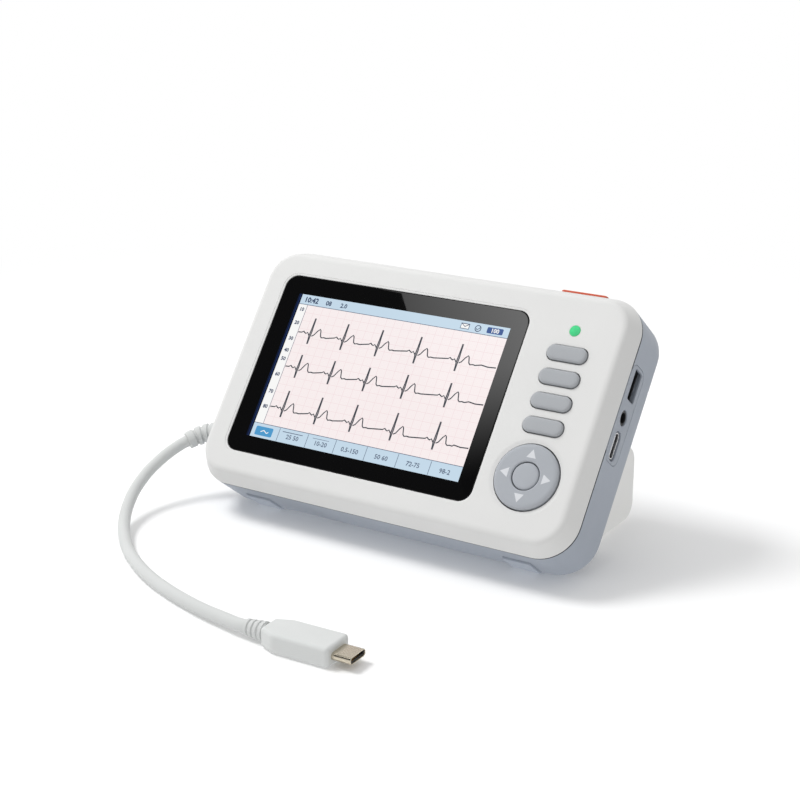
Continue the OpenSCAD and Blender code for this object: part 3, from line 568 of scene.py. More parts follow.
def bore(name, radius, at, facing, flare, depth, start=0.8 * MM, segments=48):
    """Cutter for a round hole with a softly rounded rim."""
    place = stand(at, facing)
    rim = [(radius + flare, -start), (radius + flare, 0)]
    for i in range(1, 5):
        turn = math.radians(90 * i / 4)
        rim.append((radius + flare - flare * math.sin(turn), flare * (1 - math.cos(turn))))
    return turned(name, (rim if flare else [(radius, -start)]) + [(radius, depth)], place, segments)


def to_side(v, w):
    """Place in the upright side view (back, up) of a place in the leaning housing."""
    s, c = math.sin(TILT), math.cos(TILT)
    return Vector((v * s + w * c, v * c - w * s))


# ------------------------------------------------------------ operators

class ECG_OT_finishes(bpy.types.Operator):
    """Mix every finish of the monitor"""
    bl_idname = "ecg.finishes"
    bl_label = "Finishes"

    def execute(self, context):
        c = context.scene.ecg_colours
        light = context.scene.ecg_screen.light
        moulded("shell_white", c.white, 0.42, stray=0.008)
        moulded("shell_grey", c.grey, 0.48, stray=0.012)
        moulded("feet_grey", [v * 1.15 for v in c.grey], 0.55, stray=0.012)
        moulded("foot_white", c.foot, 0.46, stray=0.01)
        moulded("key_grey", c.keys, 0.5, grain=0.25 * MM, depth=0.006 * MM)
        moulded("ring_grey", c.ring, 0.46, grain=0.25 * MM, depth=0.006 * MM)
        moulded("orange", c.orange, 0.4)
        moulded("arrow_white", srgb(208, 210, 214), 0.5, depth=0.002 * MM)
        moulded("panel_grey", [v * 0.92 for v in c.grey], 0.45)
        # painted shade: dark finish for the sheets in the seam that stand for the shade in the groove between the
        # shells
        moulded("painted_seam_shade", srgb(60, 64, 70), 0.5)
        moulded("dark_part", srgb(38, 38, 40), 0.42)
        moulded("socket_black", srgb(20, 20, 22), 0.5)
        moulded("lead_grey", c.lead, 0.5, grain=0.5 * MM, depth=0.012 * MM, stray=0.015)
        moulded("grip_grey", [v * 1.06 for v in c.lead], 0.42, grain=0.3 * MM, depth=0.006 * MM)
        moulded("foot_rubber", srgb(70, 72, 76), 0.7, grain=0.2 * MM, depth=0.03 * MM)
        moulded("adhesive", srgb(40, 40, 42), 0.8, grain=0.3 * MM, depth=0.04 * MM)
        moulded("flex", srgb(168, 98, 40), 0.3, grain=0.6 * MM)
        moulded("wire_red", srgb(170, 30, 25), 0.4)
        moulded("battery_wrap", srgb(70, 100, 150), 0.25, grain=3 * MM, depth=0.05 * MM, coat=0.4)
        moulded("lcd", srgb(225, 205, 212), 0.25, depth=0.002 * MM)
        metal("bright_metal", (0.66, 0.66, 0.67), 0.3)
        metal("brass", (0.78, 0.56, 0.24), 0.25)
        metal("plug_nickel", c.nickel, 0.24, grain=0.3 * MM, stretch=(0.1, 1, 1), depth=0.0002 * MM)
        board_finish("board_green")

        tree, shader = new_finish("glass_black", (0.0038, 0.0038, 0.0040), 0.02)
        coords = coords_of(tree)
        smudge = spread(tree, noise(tree, coords, 25 * MM, 4), 0.01, 0.028)
        tree.links.new(smudge, shader.inputs["Roughness"])
        bump(tree, shader, noise(tree, coords, 30 * MM, 1), 0.01 * MM, 0.3)

        tree, shader = new_finish("lamp_green", c.lamp, 0.38, coat=0.1)
        shader.inputs["Emission Strength"].default_value = 0.22
        inner = spread(tree, noise(tree, coords_of(tree), 1.5 * MM, 2), 0, 1)
        tree.links.new(tint(tree, inner, c.lamp, 0.08), shader.inputs["Base Color"])
        tree.links.new(tint(tree, inner, c.lamp, 0.1), shader.inputs["Emission Color"])

        chart_paper("page", c.page, srgb(252, 238, 238), srgb(247, 226, 228), light, 24, 15)
        for name, tone in (("page_plain", srgb(253, 253, 252)), ("bar_blue", c.bar),
                           ("cell_blue", srgb(84, 158, 208)), ("navy", srgb(62, 92, 150)),
                           ("navy_line", srgb(30, 45, 85)), ("trace", c.trace),
                           ("trace_fill", srgb(168, 160, 164)), ("ink", srgb(96, 108, 130)),
                           ("ink_dark", srgb(62, 76, 106))):
            lit(name, tone, light)
        return {"FINISHED"}


class ECG_OT_front_shell(bpy.types.Operator):
    """Front shell: flat face, soft edge and slope, with openings for screen, keys, pad and lamp"""
    bl_idname = "ecg.front_shell"
    bl_label = "Front shell"

    def execute(self, context):
        h, g, k = context.scene.ecg_housing, context.scene.ecg_screen, context.scene.ecg_keys
        slope = math.atan2(h.seam - h.bevel_depth, h.bevel)
        edge = [(b, a) for a, b in round_over(h.soft, 7, 0, math.degrees(slope))][::-1]
        shell = raised("front_case", h.width, h.height, h.corner, stand((0, h.seam, 0), FRONT),
                       [(h.bevel, h.seam - h.bevel_depth)] + edge + [(0.4 * MM, 0)],
                       segments=14, closed=False)
        modify(shell, "SOLIDIFY", thickness=h.wall, offset=-1, use_even_offset=True)
        rim = 0.9 * MM
        step = mm((0, 0.8), (0.05, 0.11), (0.55, 0.03), (0.12, 0.05), (0.08, 0.08), (0, 1.2))
        cut(shell,
            raised("glass_seat", g.glass_width + 2 * rim, g.glass_height + 2 * rim, g.glass_corner + rim,
                   stand((g.glass_x, -0.8 * MM, g.glass_v), BACK), step, segments=12),
            opening("window", g.glass_width - 6 * MM, g.glass_height - 6 * MM, g.glass_corner - 3 * MM,
                    (g.glass_x, 0, g.glass_v), BACK, 0, 5 * MM))
        wide, high = k.long + 0.58 * MM, k.high + 0.58 * MM
        for i in range(4):
            cut(shell, opening("key_hole", wide, high, high / 2 - 0.1 * MM,
                               (k.x, 0, k.top - i * k.pitch), BACK, 0.2 * MM, 6 * MM))
        dish = [(k.ring + out, deep) for out, deep in
                mm((2.1, -0.6), (2.1, -0.005), (1.8, 0.02), (1.5, 0.07), (1.2, 0.14), (0.9, 0.21),
                   (0.6, 0.25), (0.55, 0.26))]
        cut(shell, turned("dish", dish, stand((k.x, 0, k.pad), BACK), 64),
            bore("ring_hole", k.ring + 0.4 * MM, (k.x, 0.26 * MM, k.pad), BACK, 0.12 * MM, 5 * MM,
                 segments=64),
            bore("lamp_hole", k.lamp_width / 2 + 0.05 * MM, (k.x, 0, k.lamp), BACK, 0.12 * MM, 6 * MM))
        parts = []
        for sx in (-1, 1):
            for sv in (-1, 1):
                at = (sx * (h.width / 2 - SCREW_IN), 0, sv * (h.height / 2 - SCREW_IN))
                parts.append(turned("boss", mm((3.2, 2.2), (3.2, 13.6), (2.8, 14), (1.3, 14), (1.3, 6.6)),
                                    stand(at, BACK), 32))
        for x, v in ((-10, k.lamp), (10, k.lamp), (-10.4, k.pad + 12.9 * MM), (10.4, k.pad + 12.9 * MM)):
            parts.append(turned("post", mm((1.5, 2.2), (1.5, 8), (0.85, 8), (0.85, 4.1)),
                                stand((k.x + x * MM, 0, v), BACK), 24))
        joined(shell, *parts)
        finish_piece(shell, "shell_white")
        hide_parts("front_shell")
        return {"FINISHED"}


class ECG_OT_rear_shell(bpy.types.Operator):
    """Rear shell: deep tray with its socket pocket, sound slots, hinge ears and screw seats"""
    bl_idname = "ecg.rear_shell"
    bl_label = "Rear shell"

    def execute(self, context):
        h, k, s = context.scene.ecg_housing, context.scene.ecg_keys, context.scene.ecg_sockets
        f, lead = context.scene.ecg_foot, context.scene.ecg_lead
        back, right = h.depth, h.width / 2
        shell = raised("rear_case", h.width, h.height, h.corner, stand((0, h.seam + h.groove, 0), BACK),
                       [(0, back - h.rear - h.seam - h.groove)]
                       + round_over(h.rear, 8) + [(0.4 * MM, 0)], segments=14, closed=False)
        modify(shell, "SOLIDIFY", thickness=h.wall, offset=-1, use_even_offset=True)
        cut(shell,
            opening("panel_seat", s.wide + 0.2 * MM, s.long + 0.2 * MM, 3.5 * MM,
                    (right, s.w, s.v), LEFT, 0.1 * MM, 1.6 * MM),
            opening("panel_window", 6.9 * MM, 31.4 * MM, 0.3 * MM,
                    (right, 12.75 * MM, 8.7 * MM), LEFT, 0, 4 * MM),
            opening("button_slot", k.top_long + 0.5 * MM, k.top_wide + 0.5 * MM, 1.5 * MM,
                    (k.top_x, 12 * MM, h.height / 2), BOTTOM, 0.15 * MM, 4 * MM),
            bore("lead_hole", 3.5 * MM, (-right, lead.exit_w, lead.exit_v), RIGHT, 0.2 * MM, 4 * MM,
                 segments=32))
        for i in range(-2, 3):
            cut(shell, opening("sound_slot", (13 - abs(i) * 1.5) * MM, 1.4 * MM, 0.6 * MM,
                               (30 * MM, back, (24 + 3 * i) * MM), FRONT, 0.2 * MM, 4 * MM))
        for sx in (-1, 1):
            x = sx * f.front_x - f.front_long / 2 - 0.1 * MM
            cut(shell, outlined("foot_seat", feet_band(h, f, 0.1 * MM, 0.5 * MM), stand((x, 0, 0), RIGHT),
                                f.front_long + 0.2 * MM))
        parts = []
        ear_round = 3.6 * MM
        for sx in (-1, 1):
            for sv in (-1, 1):
                at = (sx * (right - SCREW_IN), 0, sv * (h.height / 2 - SCREW_IN))
                cut(shell, turned("screw_seat", mm((1.5, 20), (1.5, 25.1), (2.8, 25.1), (2.8, 26.85),
                                                   (2.95, 27.2), (2.95, 28)), stand(at, BACK), 32))
                parts.append(turned("boss", mm((3.2, 24.7), (3.2, 14.4), (2.8, 14), (1.5, 14), (1.5, 24.6)),
                                    stand(at, BACK), 32))
                at = (sx * (right - 22 * MM), 0, sv * (h.height / 2 - 14.25 * MM))
                parts.append(turned("standoff", mm((2.4, 24.7), (2.4, 17.5), (1, 17.5), (1, 23.2)),
                                    stand(at, BACK), 32))
            for side in (-1, 1):
                x = sx * f.lug + (4.1 * MM if side > 0 else -7.6 * MM)
                arc = [(back + f.hinge_out + ear_round * math.cos(a), f.hinge + ear_round * math.sin(a))
                       for a in [math.radians(-90 + 15 * i) for i in range(13)]]
                base = [(back - 0.5 * MM, f.hinge + ear_round), (back - 0.5 * MM, f.hinge - ear_round)]
                ear = outlined("ear", arc + base, stand((x, 0, 0), RIGHT), 3.5 * MM)
                soften(ear, 0.35 * MM, 2, 50)
                cut(ear, turned("pin_hole", mm((1.52, -1), (1.52, 5)),
                                stand((x, back + f.hinge_out, f.hinge), RIGHT), 32))
                parts.append(ear)
        # painted shade: the lip between the shells and the rim just behind the groove are dark sheets that stand
        # for the shade in the seam groove
        for name, gap, start, deep in (("seam_lip", h.groove, h.seam, 1.2 * MM),
                                       ("seam_rim", 0.05 * MM, h.seam + h.groove - 0.1 * MM, 0.095 * MM)):
            line = raised(name, h.width - 2 * gap, h.height - 2 * gap, h.corner - gap,
                          stand((0, start, 0), BACK), [(0, deep), (1.2 * MM, 0), (0, -deep)], segments=14)
            mesh = edit(line)
            for face in mesh.faces:
                face.select = len(face.verts) > 8 and face.calc_area() > 0.006
            bmesh.update_edit_mesh(line.data)
            bpy.ops.mesh.delete(type="ONLY_FACE")
            leave()
            finish_piece(line, "painted_seam_shade")
        joined(shell, *parts)
        finish_piece(shell, "shell_grey")
        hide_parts("rear_shell")
        return {"FINISHED"}


def feet_band(h, f, grow, ahead=0.0):
    """Outline (depth, height) of the band that a front foot forms round the lower rear edge."""
    def edge(off, w0, v1):
        low = -h.height / 2
        turn = [math.radians(-90 + 90 * i / 6) for i in range(7)]
        arc = [(h.depth - h.rear + (h.rear + off) * math.cos(a), low + h.rear + (h.rear + off) * math.sin(a))
               for a in turn]
        return [(w0, low - off)] + arc + [(h.depth + off, v1)]
    v1 = -h.height / 2 + 7 * MM + grow
    start = 15.4 * MM - grow - ahead
    return edge(f.proud + grow, start, v1) + edge(-0.8 * MM, start, v1)[::-1]


class ECG_OT_cover_glass(bpy.types.Operator):
    """Cover glass: black pane with a ground edge, set just below the face"""
    bl_idname = "ecg.cover_glass"
    bl_label = "Cover glass"

    def execute(self, context):
        g = context.scene.ecg_screen
        pane = raised("cover_pane", g.glass_width, g.glass_height, g.glass_corner,
                      stand((g.glass_x, 1.35 * MM, g.glass_v), FRONT),
                      [(0, 0.85 * MM)] + round_over(0.25 * MM, 4) + [(0.3 * MM, 0)], segments=12)
        finish_piece(pane, "glass_black")
        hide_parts("cover_glass")
        return {"FINISHED"}


# Levels of the picture above the glass, so that no two of its sheets share a plane
PAGE, SHEET, MARK = 0.012 * MM, 0.02 * MM, 0.028 * MM


def on_screen(g, x, y, level):
    """Place of a spot on the picture: shares of its width and height, from its top left."""
    return stand((g.x + (x - 0.5) * g.width, 0.25 * MM - level, g.v + (0.5 - y) * g.height), FRONT)


def patch(g, x0, y0, x1, y1, level, corner=0.0):
    """Flat patch of the picture between two of its places."""
    piece = plate("patch", (x1 - x0) * g.width, (y1 - y0) * g.height, corner,
                  on_screen(g, (x0 + x1) / 2, (y0 + y1) / 2, level), 4)
    leave()
    return piece


def strip_line(g, points, level, width):
    """Thin line of the picture through (x, y) places."""
    flat = [((x - 0.5) * g.width, (0.5 - y) * g.height, 0) for x, y in points]
    line = tube("line", flat, [width / 2] * len(flat), sides=2)
    line.matrix_world = on_screen(g, 0.5, 0.5, level) @ Matrix.Diagonal((1, 1, 0.02, 1))
    pick(line)
    bpy.ops.object.transform_apply(location=True, rotation=True, scale=True)
    return line


def digits(g, words, x, y, size, level, bold=0.04 * MM):
    """Plain digits of the picture, centred on a place."""
    clear()
    bpy.ops.object.text_add()
    text = bpy.context.object
    text.data.body = words
    text.data.size = size
    text.data.align_x, text.data.align_y = "CENTER", "CENTER"
    text.data.resolution_u = 2
    text.data.offset = bold
    bpy.ops.object.convert(target="MESH")
    text = bpy.context.object
    text.matrix_world = on_screen(g, x, y, level)
    bpy.ops.object.transform_apply(location=True, rotation=True, scale=True)
    return text


def shown(name, finish, first, *others):
    """Join parts of the picture into one piece, name it and give it its finish."""
    if others:
        joined(first, *others)
    first.name = name
    finish_piece(first, finish)


def beat(x, base, wave):
    """Places of one heart beat beside its spike at x: the line before the spike and the line after it."""
    before = [(-0.044, 0), (-0.036, -0.009), (-0.030, -0.001), (-0.022, 0.004), (-0.016, -0.005),
              (-0.005, 0.013)]
    after = [(0.008, 0.016), (0.018, 0.006), (0.030, -wave * 0.6), (0.040, -wave), (0.045, -wave * 0.8),
             (0.052, 0.005), (0.059, 0.015), (0.070, 0.011), (0.082, 0.013)]
    return [(x + dx, base + dy) for dx, dy in before], [(x + dx, base + dy) for dx, dy in after]


# Each trace: base line, height and depth of its spikes, height of the wave after them, places of the spikes
TRACES = (
    (0.258, 0.108, 0.072, 0.040, (0.108, 0.274, 0.444, 0.629, 0.821)),
    (0.500, 0.092, 0.068, 0.045, (0.108, 0.274, 0.446, 0.629, 0.830)),
    (0.781, 0.122, 0.060, 0.045, (0.111, 0.279, 0.452, 0.645, 0.842)),
)


class ECG_OT_picture(bpy.types.Operator):
    """Lit picture: chart page, three traces, bars with their cells, marks and digits"""
    bl_idname = "ecg.picture"
    bl_label = "Picture"

    def execute(self, context):
        g = context.scene.ecg_screen
        shown("chart_page", "page", patch(g, 0.043, 0.068, 1, 0.905, PAGE))
        shown("label_strip", "page_plain", patch(g, 0, 0.068, 0.043, 0.905, PAGE))
        shown("picture_bars", "bar_blue", patch(g, 0, 0, 1, 0.068, PAGE), patch(g, 0, 0.905, 1, 1, PAGE))
        shown("lit_cell", "cell_blue", patch(g, 0.018, 0.925, 0.104, 0.985, SHEET, 0.5 * MM))
        shown("badge", "navy", patch(g, 0.902, 0.014, 0.974, 0.054, SHEET, 0.4 * MM))
        shown("picture_edge", "navy_line", strip_line(g, [(-0.0085, 0.0), (-0.0085, 1.0)], PAGE, 0.6 * MM),
              strip_line(g, [(-0.016, 0.0), (-0.016, 1.0)], PAGE, 0.14 * MM))

        rules = [strip_line(g, [(0, y), (1, y)], SHEET, 0.22 * MM) for y in (0.068, 0.905)]
        rules += [strip_line(g, [(0.043, 0.07), (0.043, 0.9)], SHEET, 0.18 * MM)]
        rules += [strip_line(g, [(x, 0.91), (x, 0.998)], SHEET, 0.2 * MM)
                  for x in (0.134, 0.276, 0.413, 0.562, 0.710, 0.861)]
        rules += [strip_line(g, [(0.15, 0.928), (0.25, 0.928)], SHEET, 0.26 * MM),
                  strip_line(g, [(0.3, 0.928), (0.38, 0.928)], SHEET, 0.16 * MM)]
        marks = [digits(g, word, x, 0.958, 2.3 * MM, SHEET) for x, word in
                 ((0.205, "25 50"), (0.345, "10-20"), (0.487, "0.5-150"), (0.637, "50 60"), (0.785, "72-75"),
                  (0.93, "98-2"))]
        shown("picture_marks", "ink", *rules, *marks)

        # open letter and round sign in the upper bar, the clock beside them and the marks of the left strip
        ring = [(0.861 + 0.013 * math.cos(a), 0.035 + 0.02 * math.sin(a))
                for a in [math.radians(30 * i) for i in range(13)]]
        dark = [strip_line(g, [(0.782, 0.017), (0.82, 0.017), (0.82, 0.05), (0.782, 0.05), (0.782, 0.017),
                               (0.801, 0.036), (0.82, 0.017)], MARK, 0.3 * MM),
                strip_line(g, ring, MARK, 0.3 * MM),
                strip_line(g, [(0.853, 0.036), (0.859, 0.044), (0.870, 0.027)], MARK, 0.28 * MM),
                digits(g, "10:42", 0.054, 0.035, 2.7 * MM, MARK, 0.1 * MM),
                digits(g, "08", 0.142, 0.037, 2.4 * MM, MARK, 0.07 * MM),
                digits(g, "2.0", 0.218, 0.037, 2.3 * MM, MARK, 0.06 * MM)]
        for y, word in ((0.105, "10"), (0.2, "20"), (0.312, "30"), (0.395, "40"), (0.455, "50"), (0.565, "60"),
                        (0.685, "70"), (0.79, "80")):
            dark.append(digits(g, word, 0.022, y, 1.9 * MM, MARK, 0.07 * MM))
        shown("dark_marks", "ink_dark", *dark)
        pulse = [(0.045, 0.96), (0.06, 0.948), (0.075, 0.964), (0.084, 0.955)]
        shown("light_marks", "page_plain", digits(g, "100", 0.938, 0.035, 2.1 * MM, MARK, 0.06 * MM),
              patch(g, 0.784, 0.019, 0.818, 0.048, SHEET), strip_line(g, pulse, MARK, 0.34 * MM))

        lines, fills = [], []
        for base, tall, deep, wave, peaks in TRACES:
            path = [(0.046, base + 0.002)]
            for x in peaks:
                before, after = beat(x, base, wave)
                lines.append(strip_line(g, path + before, MARK, 0.43 * MM))
                path = after
                foot, peak = (x + 0.001, base + deep), (x, base - tall)
                for side in (-1, 1):
                    shoulder = (x + side * 0.0042, base - side * 0.012)
                    lines.append(strip_line(g, [foot, shoulder, peak], MARK, 0.38 * MM))
                fills.append(strip_line(g, [foot, (x, base), peak], SHEET, 0.8 * MM))
            path += [(0.93, base + 0.004), (0.96, base + 0.010), (0.996, base + 0.006)]
            lines.append(strip_line(g, path, MARK, 0.43 * MM))
        shown("trace_fills", "trace_fill", *fills)
        shown("heart_traces", "trace", *lines)
        return {"FINISHED"}


class ECG_OT_keys(bpy.types.Operator):
    """Four pill keys with soft crowned tops, flanges and stems"""
    bl_idname = "ecg.keys"
    bl_label = "Pill keys"

    def execute(self, context):
        k = context.scene.ecg_keys
        at = (k.x, 3.1 * MM, k.top)
        round_end = k.high / 2 - 0.1 * MM
        crown = mm((0.35, 0.05), (0.4, 0.03), (0.3, 0.01), (0.2, 0))
        key = raised("key_cap_1", k.long, k.high, round_end, stand(at, FRONT),
                     [(0, 3.1 * MM + k.proud - k.edge - 0.08 * MM)] + round_over(k.edge, 6)[:-1]
                     + [(0.13 * MM, 0.03 * MM)] + crown, segments=12)
        flange = raised("flange", k.long + 2 * MM, k.high + 1.8 * MM, round_end + 0.9 * MM,
                        stand((k.x, 3.8 * MM, k.top), FRONT), mm((0, 0.7), (0.1, 0.09)), segments=10)
        stem = turned("stem", mm((1.6, 3.6), (1.6, 6.4), (1.4, 6.6)), stand((k.x, 0, k.top), BACK), 24)
        joined(key, flange, stem)
        keys = [key] + [copied(key, f"key_cap_{i + 1}", (0, 0, -i * k.pitch)) for i in (1, 2, 3)]
        for i, piece in enumerate(keys, 1):
            finish_piece(piece, "key_grey", f"key_{i}_body")
            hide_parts(f"key_{i}")
        return {"FINISHED"}


class ECG_OT_direction_pad(bpy.types.Operator):
    """Rocking direction ring with four printed arrows, and the round button in it"""
    bl_idname = "ecg.direction_pad"
    bl_label = "Direction pad"

    def execute(self, context):
        k = context.scene.ecg_keys
        here = stand((k.x, 0, k.pad), FRONT)
        top = k.proud - 0.1 * MM
        hole = k.button + 0.25 * MM
        outer = [(k.ring - 1.6 * MM + 1.6 * MM * math.sin(a), top - 1.2 * MM + 1.2 * MM * math.cos(a))
                 for a in [math.radians(9 * i) for i in range(11)]]
        profile = ([(hole, -4.4 * MM), (hole, top - 0.45 * MM), (hole + 0.06 * MM, top - 0.25 * MM),
                    (hole + 0.2 * MM, top - 0.1 * MM), (hole + 0.45 * MM, top),
                    (hole + 0.75 * MM, top + 0.01 * MM)]
                   + [(k.ring - 2.1 * MM, top + 0.01 * MM)] + outer
                   + [(k.ring, -3.7 * MM), (k.ring + 0.6 * MM, -3.7 * MM), (k.ring + 0.6 * MM, -4.4 * MM),
                      (hole, -4.4 * MM)])
        ring = turned("pad_ring_cap", profile, here, 96, closed=False)
        edit(ring, "VERT")
        bpy.ops.mesh.select_all(action="SELECT")
        bpy.ops.mesh.remove_doubles(threshold=1e-6)
        outward()
        pegs = [turned("plunger", mm((1.1, 4.2), (1.1, 6.75), (0.9, 6.9)),
                       stand((k.x + 9.4 * MM * math.cos(a), 0, k.pad + 9.4 * MM * math.sin(a)), BACK), 20)
                for a in [math.radians(90 * i) for i in range(4)]]
        joined(ring, *pegs)
        finish_piece(ring, "ring_grey", "pad_ring")
        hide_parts("direction_ring")

        arrows = []
        for quarter in range(4):
            turn = Matrix.Rotation(math.radians(90 * quarter), 4, "Z")
            place = here @ turn @ Matrix.Translation((0, 0, top - 0.02 * MM))
            arrows.append(outlined("arrow", mm((6.15, -1.7), (9.05, 0), (6.15, 1.7)), place, 0.045 * MM))
        marks = joined(*arrows)
        marks.name = "arrow_marks"
        finish_piece(marks, "arrow_white", "pad_ring")

        r = k.button
        below = mm((1.6, -6.6), (1.6, -5.7)) + [(r + out, low) for out, low in
                                                mm((0.8, -5.7), (0.8, -5.1), (0, -5.1))]
        above = mm((0, -0.8), (-0.05, -0.55), (-0.2, -0.32), (-0.45, -0.15), (-0.8, -0.05), (-1.3, -0.01),
                   (-2.2, 0.02), (-3.4, 0.05), (-4.3, 0.055))
        button = turned("ok_cap", below + [(r + out, top + high) for out, high in above], here, 72)
        finish_piece(button, "ring_grey", "ok_body")
        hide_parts("ok_button")
        return {"FINISHED"}


class ECG_OT_lamp(bpy.types.Operator):
    """Domed green lamp above the keys"""
    bl_idname = "ecg.lamp"
    bl_label = "Lamp"

    def execute(self, context):
        k = context.scene.ecg_keys
        r = k.lamp_width / 2
        dome = [(r * math.sin(a), 0.45 * MM * math.cos(a))
                for a in [math.radians(90 - 9 * i) for i in range(10)]]
        stem = [(r + out, low) for out, low in
                mm((-0.4, -7.1), (-0.4, -3.2), (0.6, -3.2), (0.6, -2.6), (0, -2.6))]
        lens = turned("lamp_dome", stem + dome, stand((k.x, 0, k.lamp), FRONT), 48)
        finish_piece(lens, "lamp_green")
        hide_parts("lamp_lens")
        return {"FINISHED"}


class ECG_OT_top_button(bpy.types.Operator):
    """Orange button in the top wall, with soft shoulders, its flange and foot"""
    bl_idname = "ecg.top_button"
    bl_label = "Top button"

    def execute(self, context):
        h, k = context.scene.ecg_housing, context.scene.ecg_keys
        deep = 3.6 * MM
        here = stand((k.top_x, 12 * MM, h.height / 2 - deep), TOP)
        cap = raised("top_cap", k.top_long, k.top_wide, 1.3 * MM, here,
                     [(0, deep + k.top_proud - 0.45 * MM)] + round_over(0.45 * MM, 5) + [(0.2 * MM, 0)], 8)
        flange = raised("flange", k.top_long + 2 * MM, k.top_wide + 2 * MM, 0.8 * MM, here,
                        mm((0, 0.8), (0.1, 0.08)), 4)
        foot = raised("foot", 5 * MM, 4 * MM, 0.4 * MM,
                      stand((k.top_x, 13 * MM, h.height / 2 - 4.95 * MM), TOP), [(0, 1.6 * MM)], 3)
        joined(cap, flange, foot)
        finish_piece(cap, "orange", "top_body")
        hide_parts("top_button")
        return {"FINISHED"}


class ECG_OT_sockets(bpy.types.Operator):
    """Socket panel with its thin outline and the lips of the sockets"""
    bl_idname = "ecg.sockets"
    bl_label = "Sockets"

    def execute(self, context):
        h, s = context.scene.ecg_housing, context.scene.ecg_sockets
        right = h.width / 2
        deep = right - 1.6 * MM
        panel = raised("side_panel", s.wide, s.long, 3.4 * MM, stand((deep, s.w, s.v), RIGHT),
                       [(0, 1.42 * MM)] + round_over(0.15 * MM, 3) + [(0.3 * MM, 0)], 10)
        cut(panel,
            raised("lead_back", 6.8 * MM, 11.6 * MM, 0.6 * MM,
                   stand((deep - 0.1 * MM, s.line + 0.65 * MM, s.lead), RIGHT), [(0, 0.95 * MM)]),
            opening("lead_mouth", 5.8 * MM, 10.5 * MM, 0.7 * MM, (right, s.line + 0.65 * MM, s.lead), LEFT,
                    0.3 * MM, 3 * MM),
            bore("jack_mouth", 2.6 * MM, (right, s.line, s.jack), LEFT, 0.4 * MM, 3 * MM, segments=40),
            opening("usb_mouth", 4.8 * MM, 10 * MM, 2 * MM, (right, s.line + 0.2 * MM, s.usb), LEFT,
                    0.35 * MM, 3 * MM))
        finish_piece(panel, "panel_grey")
        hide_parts("socket_panel")
        return {"FINISHED"}


class ECG_OT_front_feet(bpy.types.Operator):
    """Two front feet that wrap the lower rear edge and stand flat on the table"""
    bl_idname = "ecg.front_feet"
    bl_label = "Front feet"

    def execute(self, context):
        h, f = context.scene.ecg_housing, context.scene.ecg_foot
        feet = []
        for sx in (-1, 1):
            place = stand((sx * f.front_x - f.front_long / 2, 0, 0), RIGHT)
            foot = outlined("foot", feet_band(h, f, 0), place, f.front_long)
            soften(foot, 0.3 * MM, 3, 50)
            edit(foot)
            bpy.ops.mesh.select_all(action="SELECT")
            bpy.ops.mesh.bisect(plane_co=(0, 0, 0), plane_no=(0, 0, -1), use_fill=True, clear_outer=True)
            leave()
            feet.append(foot)
        pair = joined(*feet)
        pair.name = "front_feet_pair"
        finish_piece(pair, "feet_grey")
        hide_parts("front_feet")
        return {"FINISHED"}


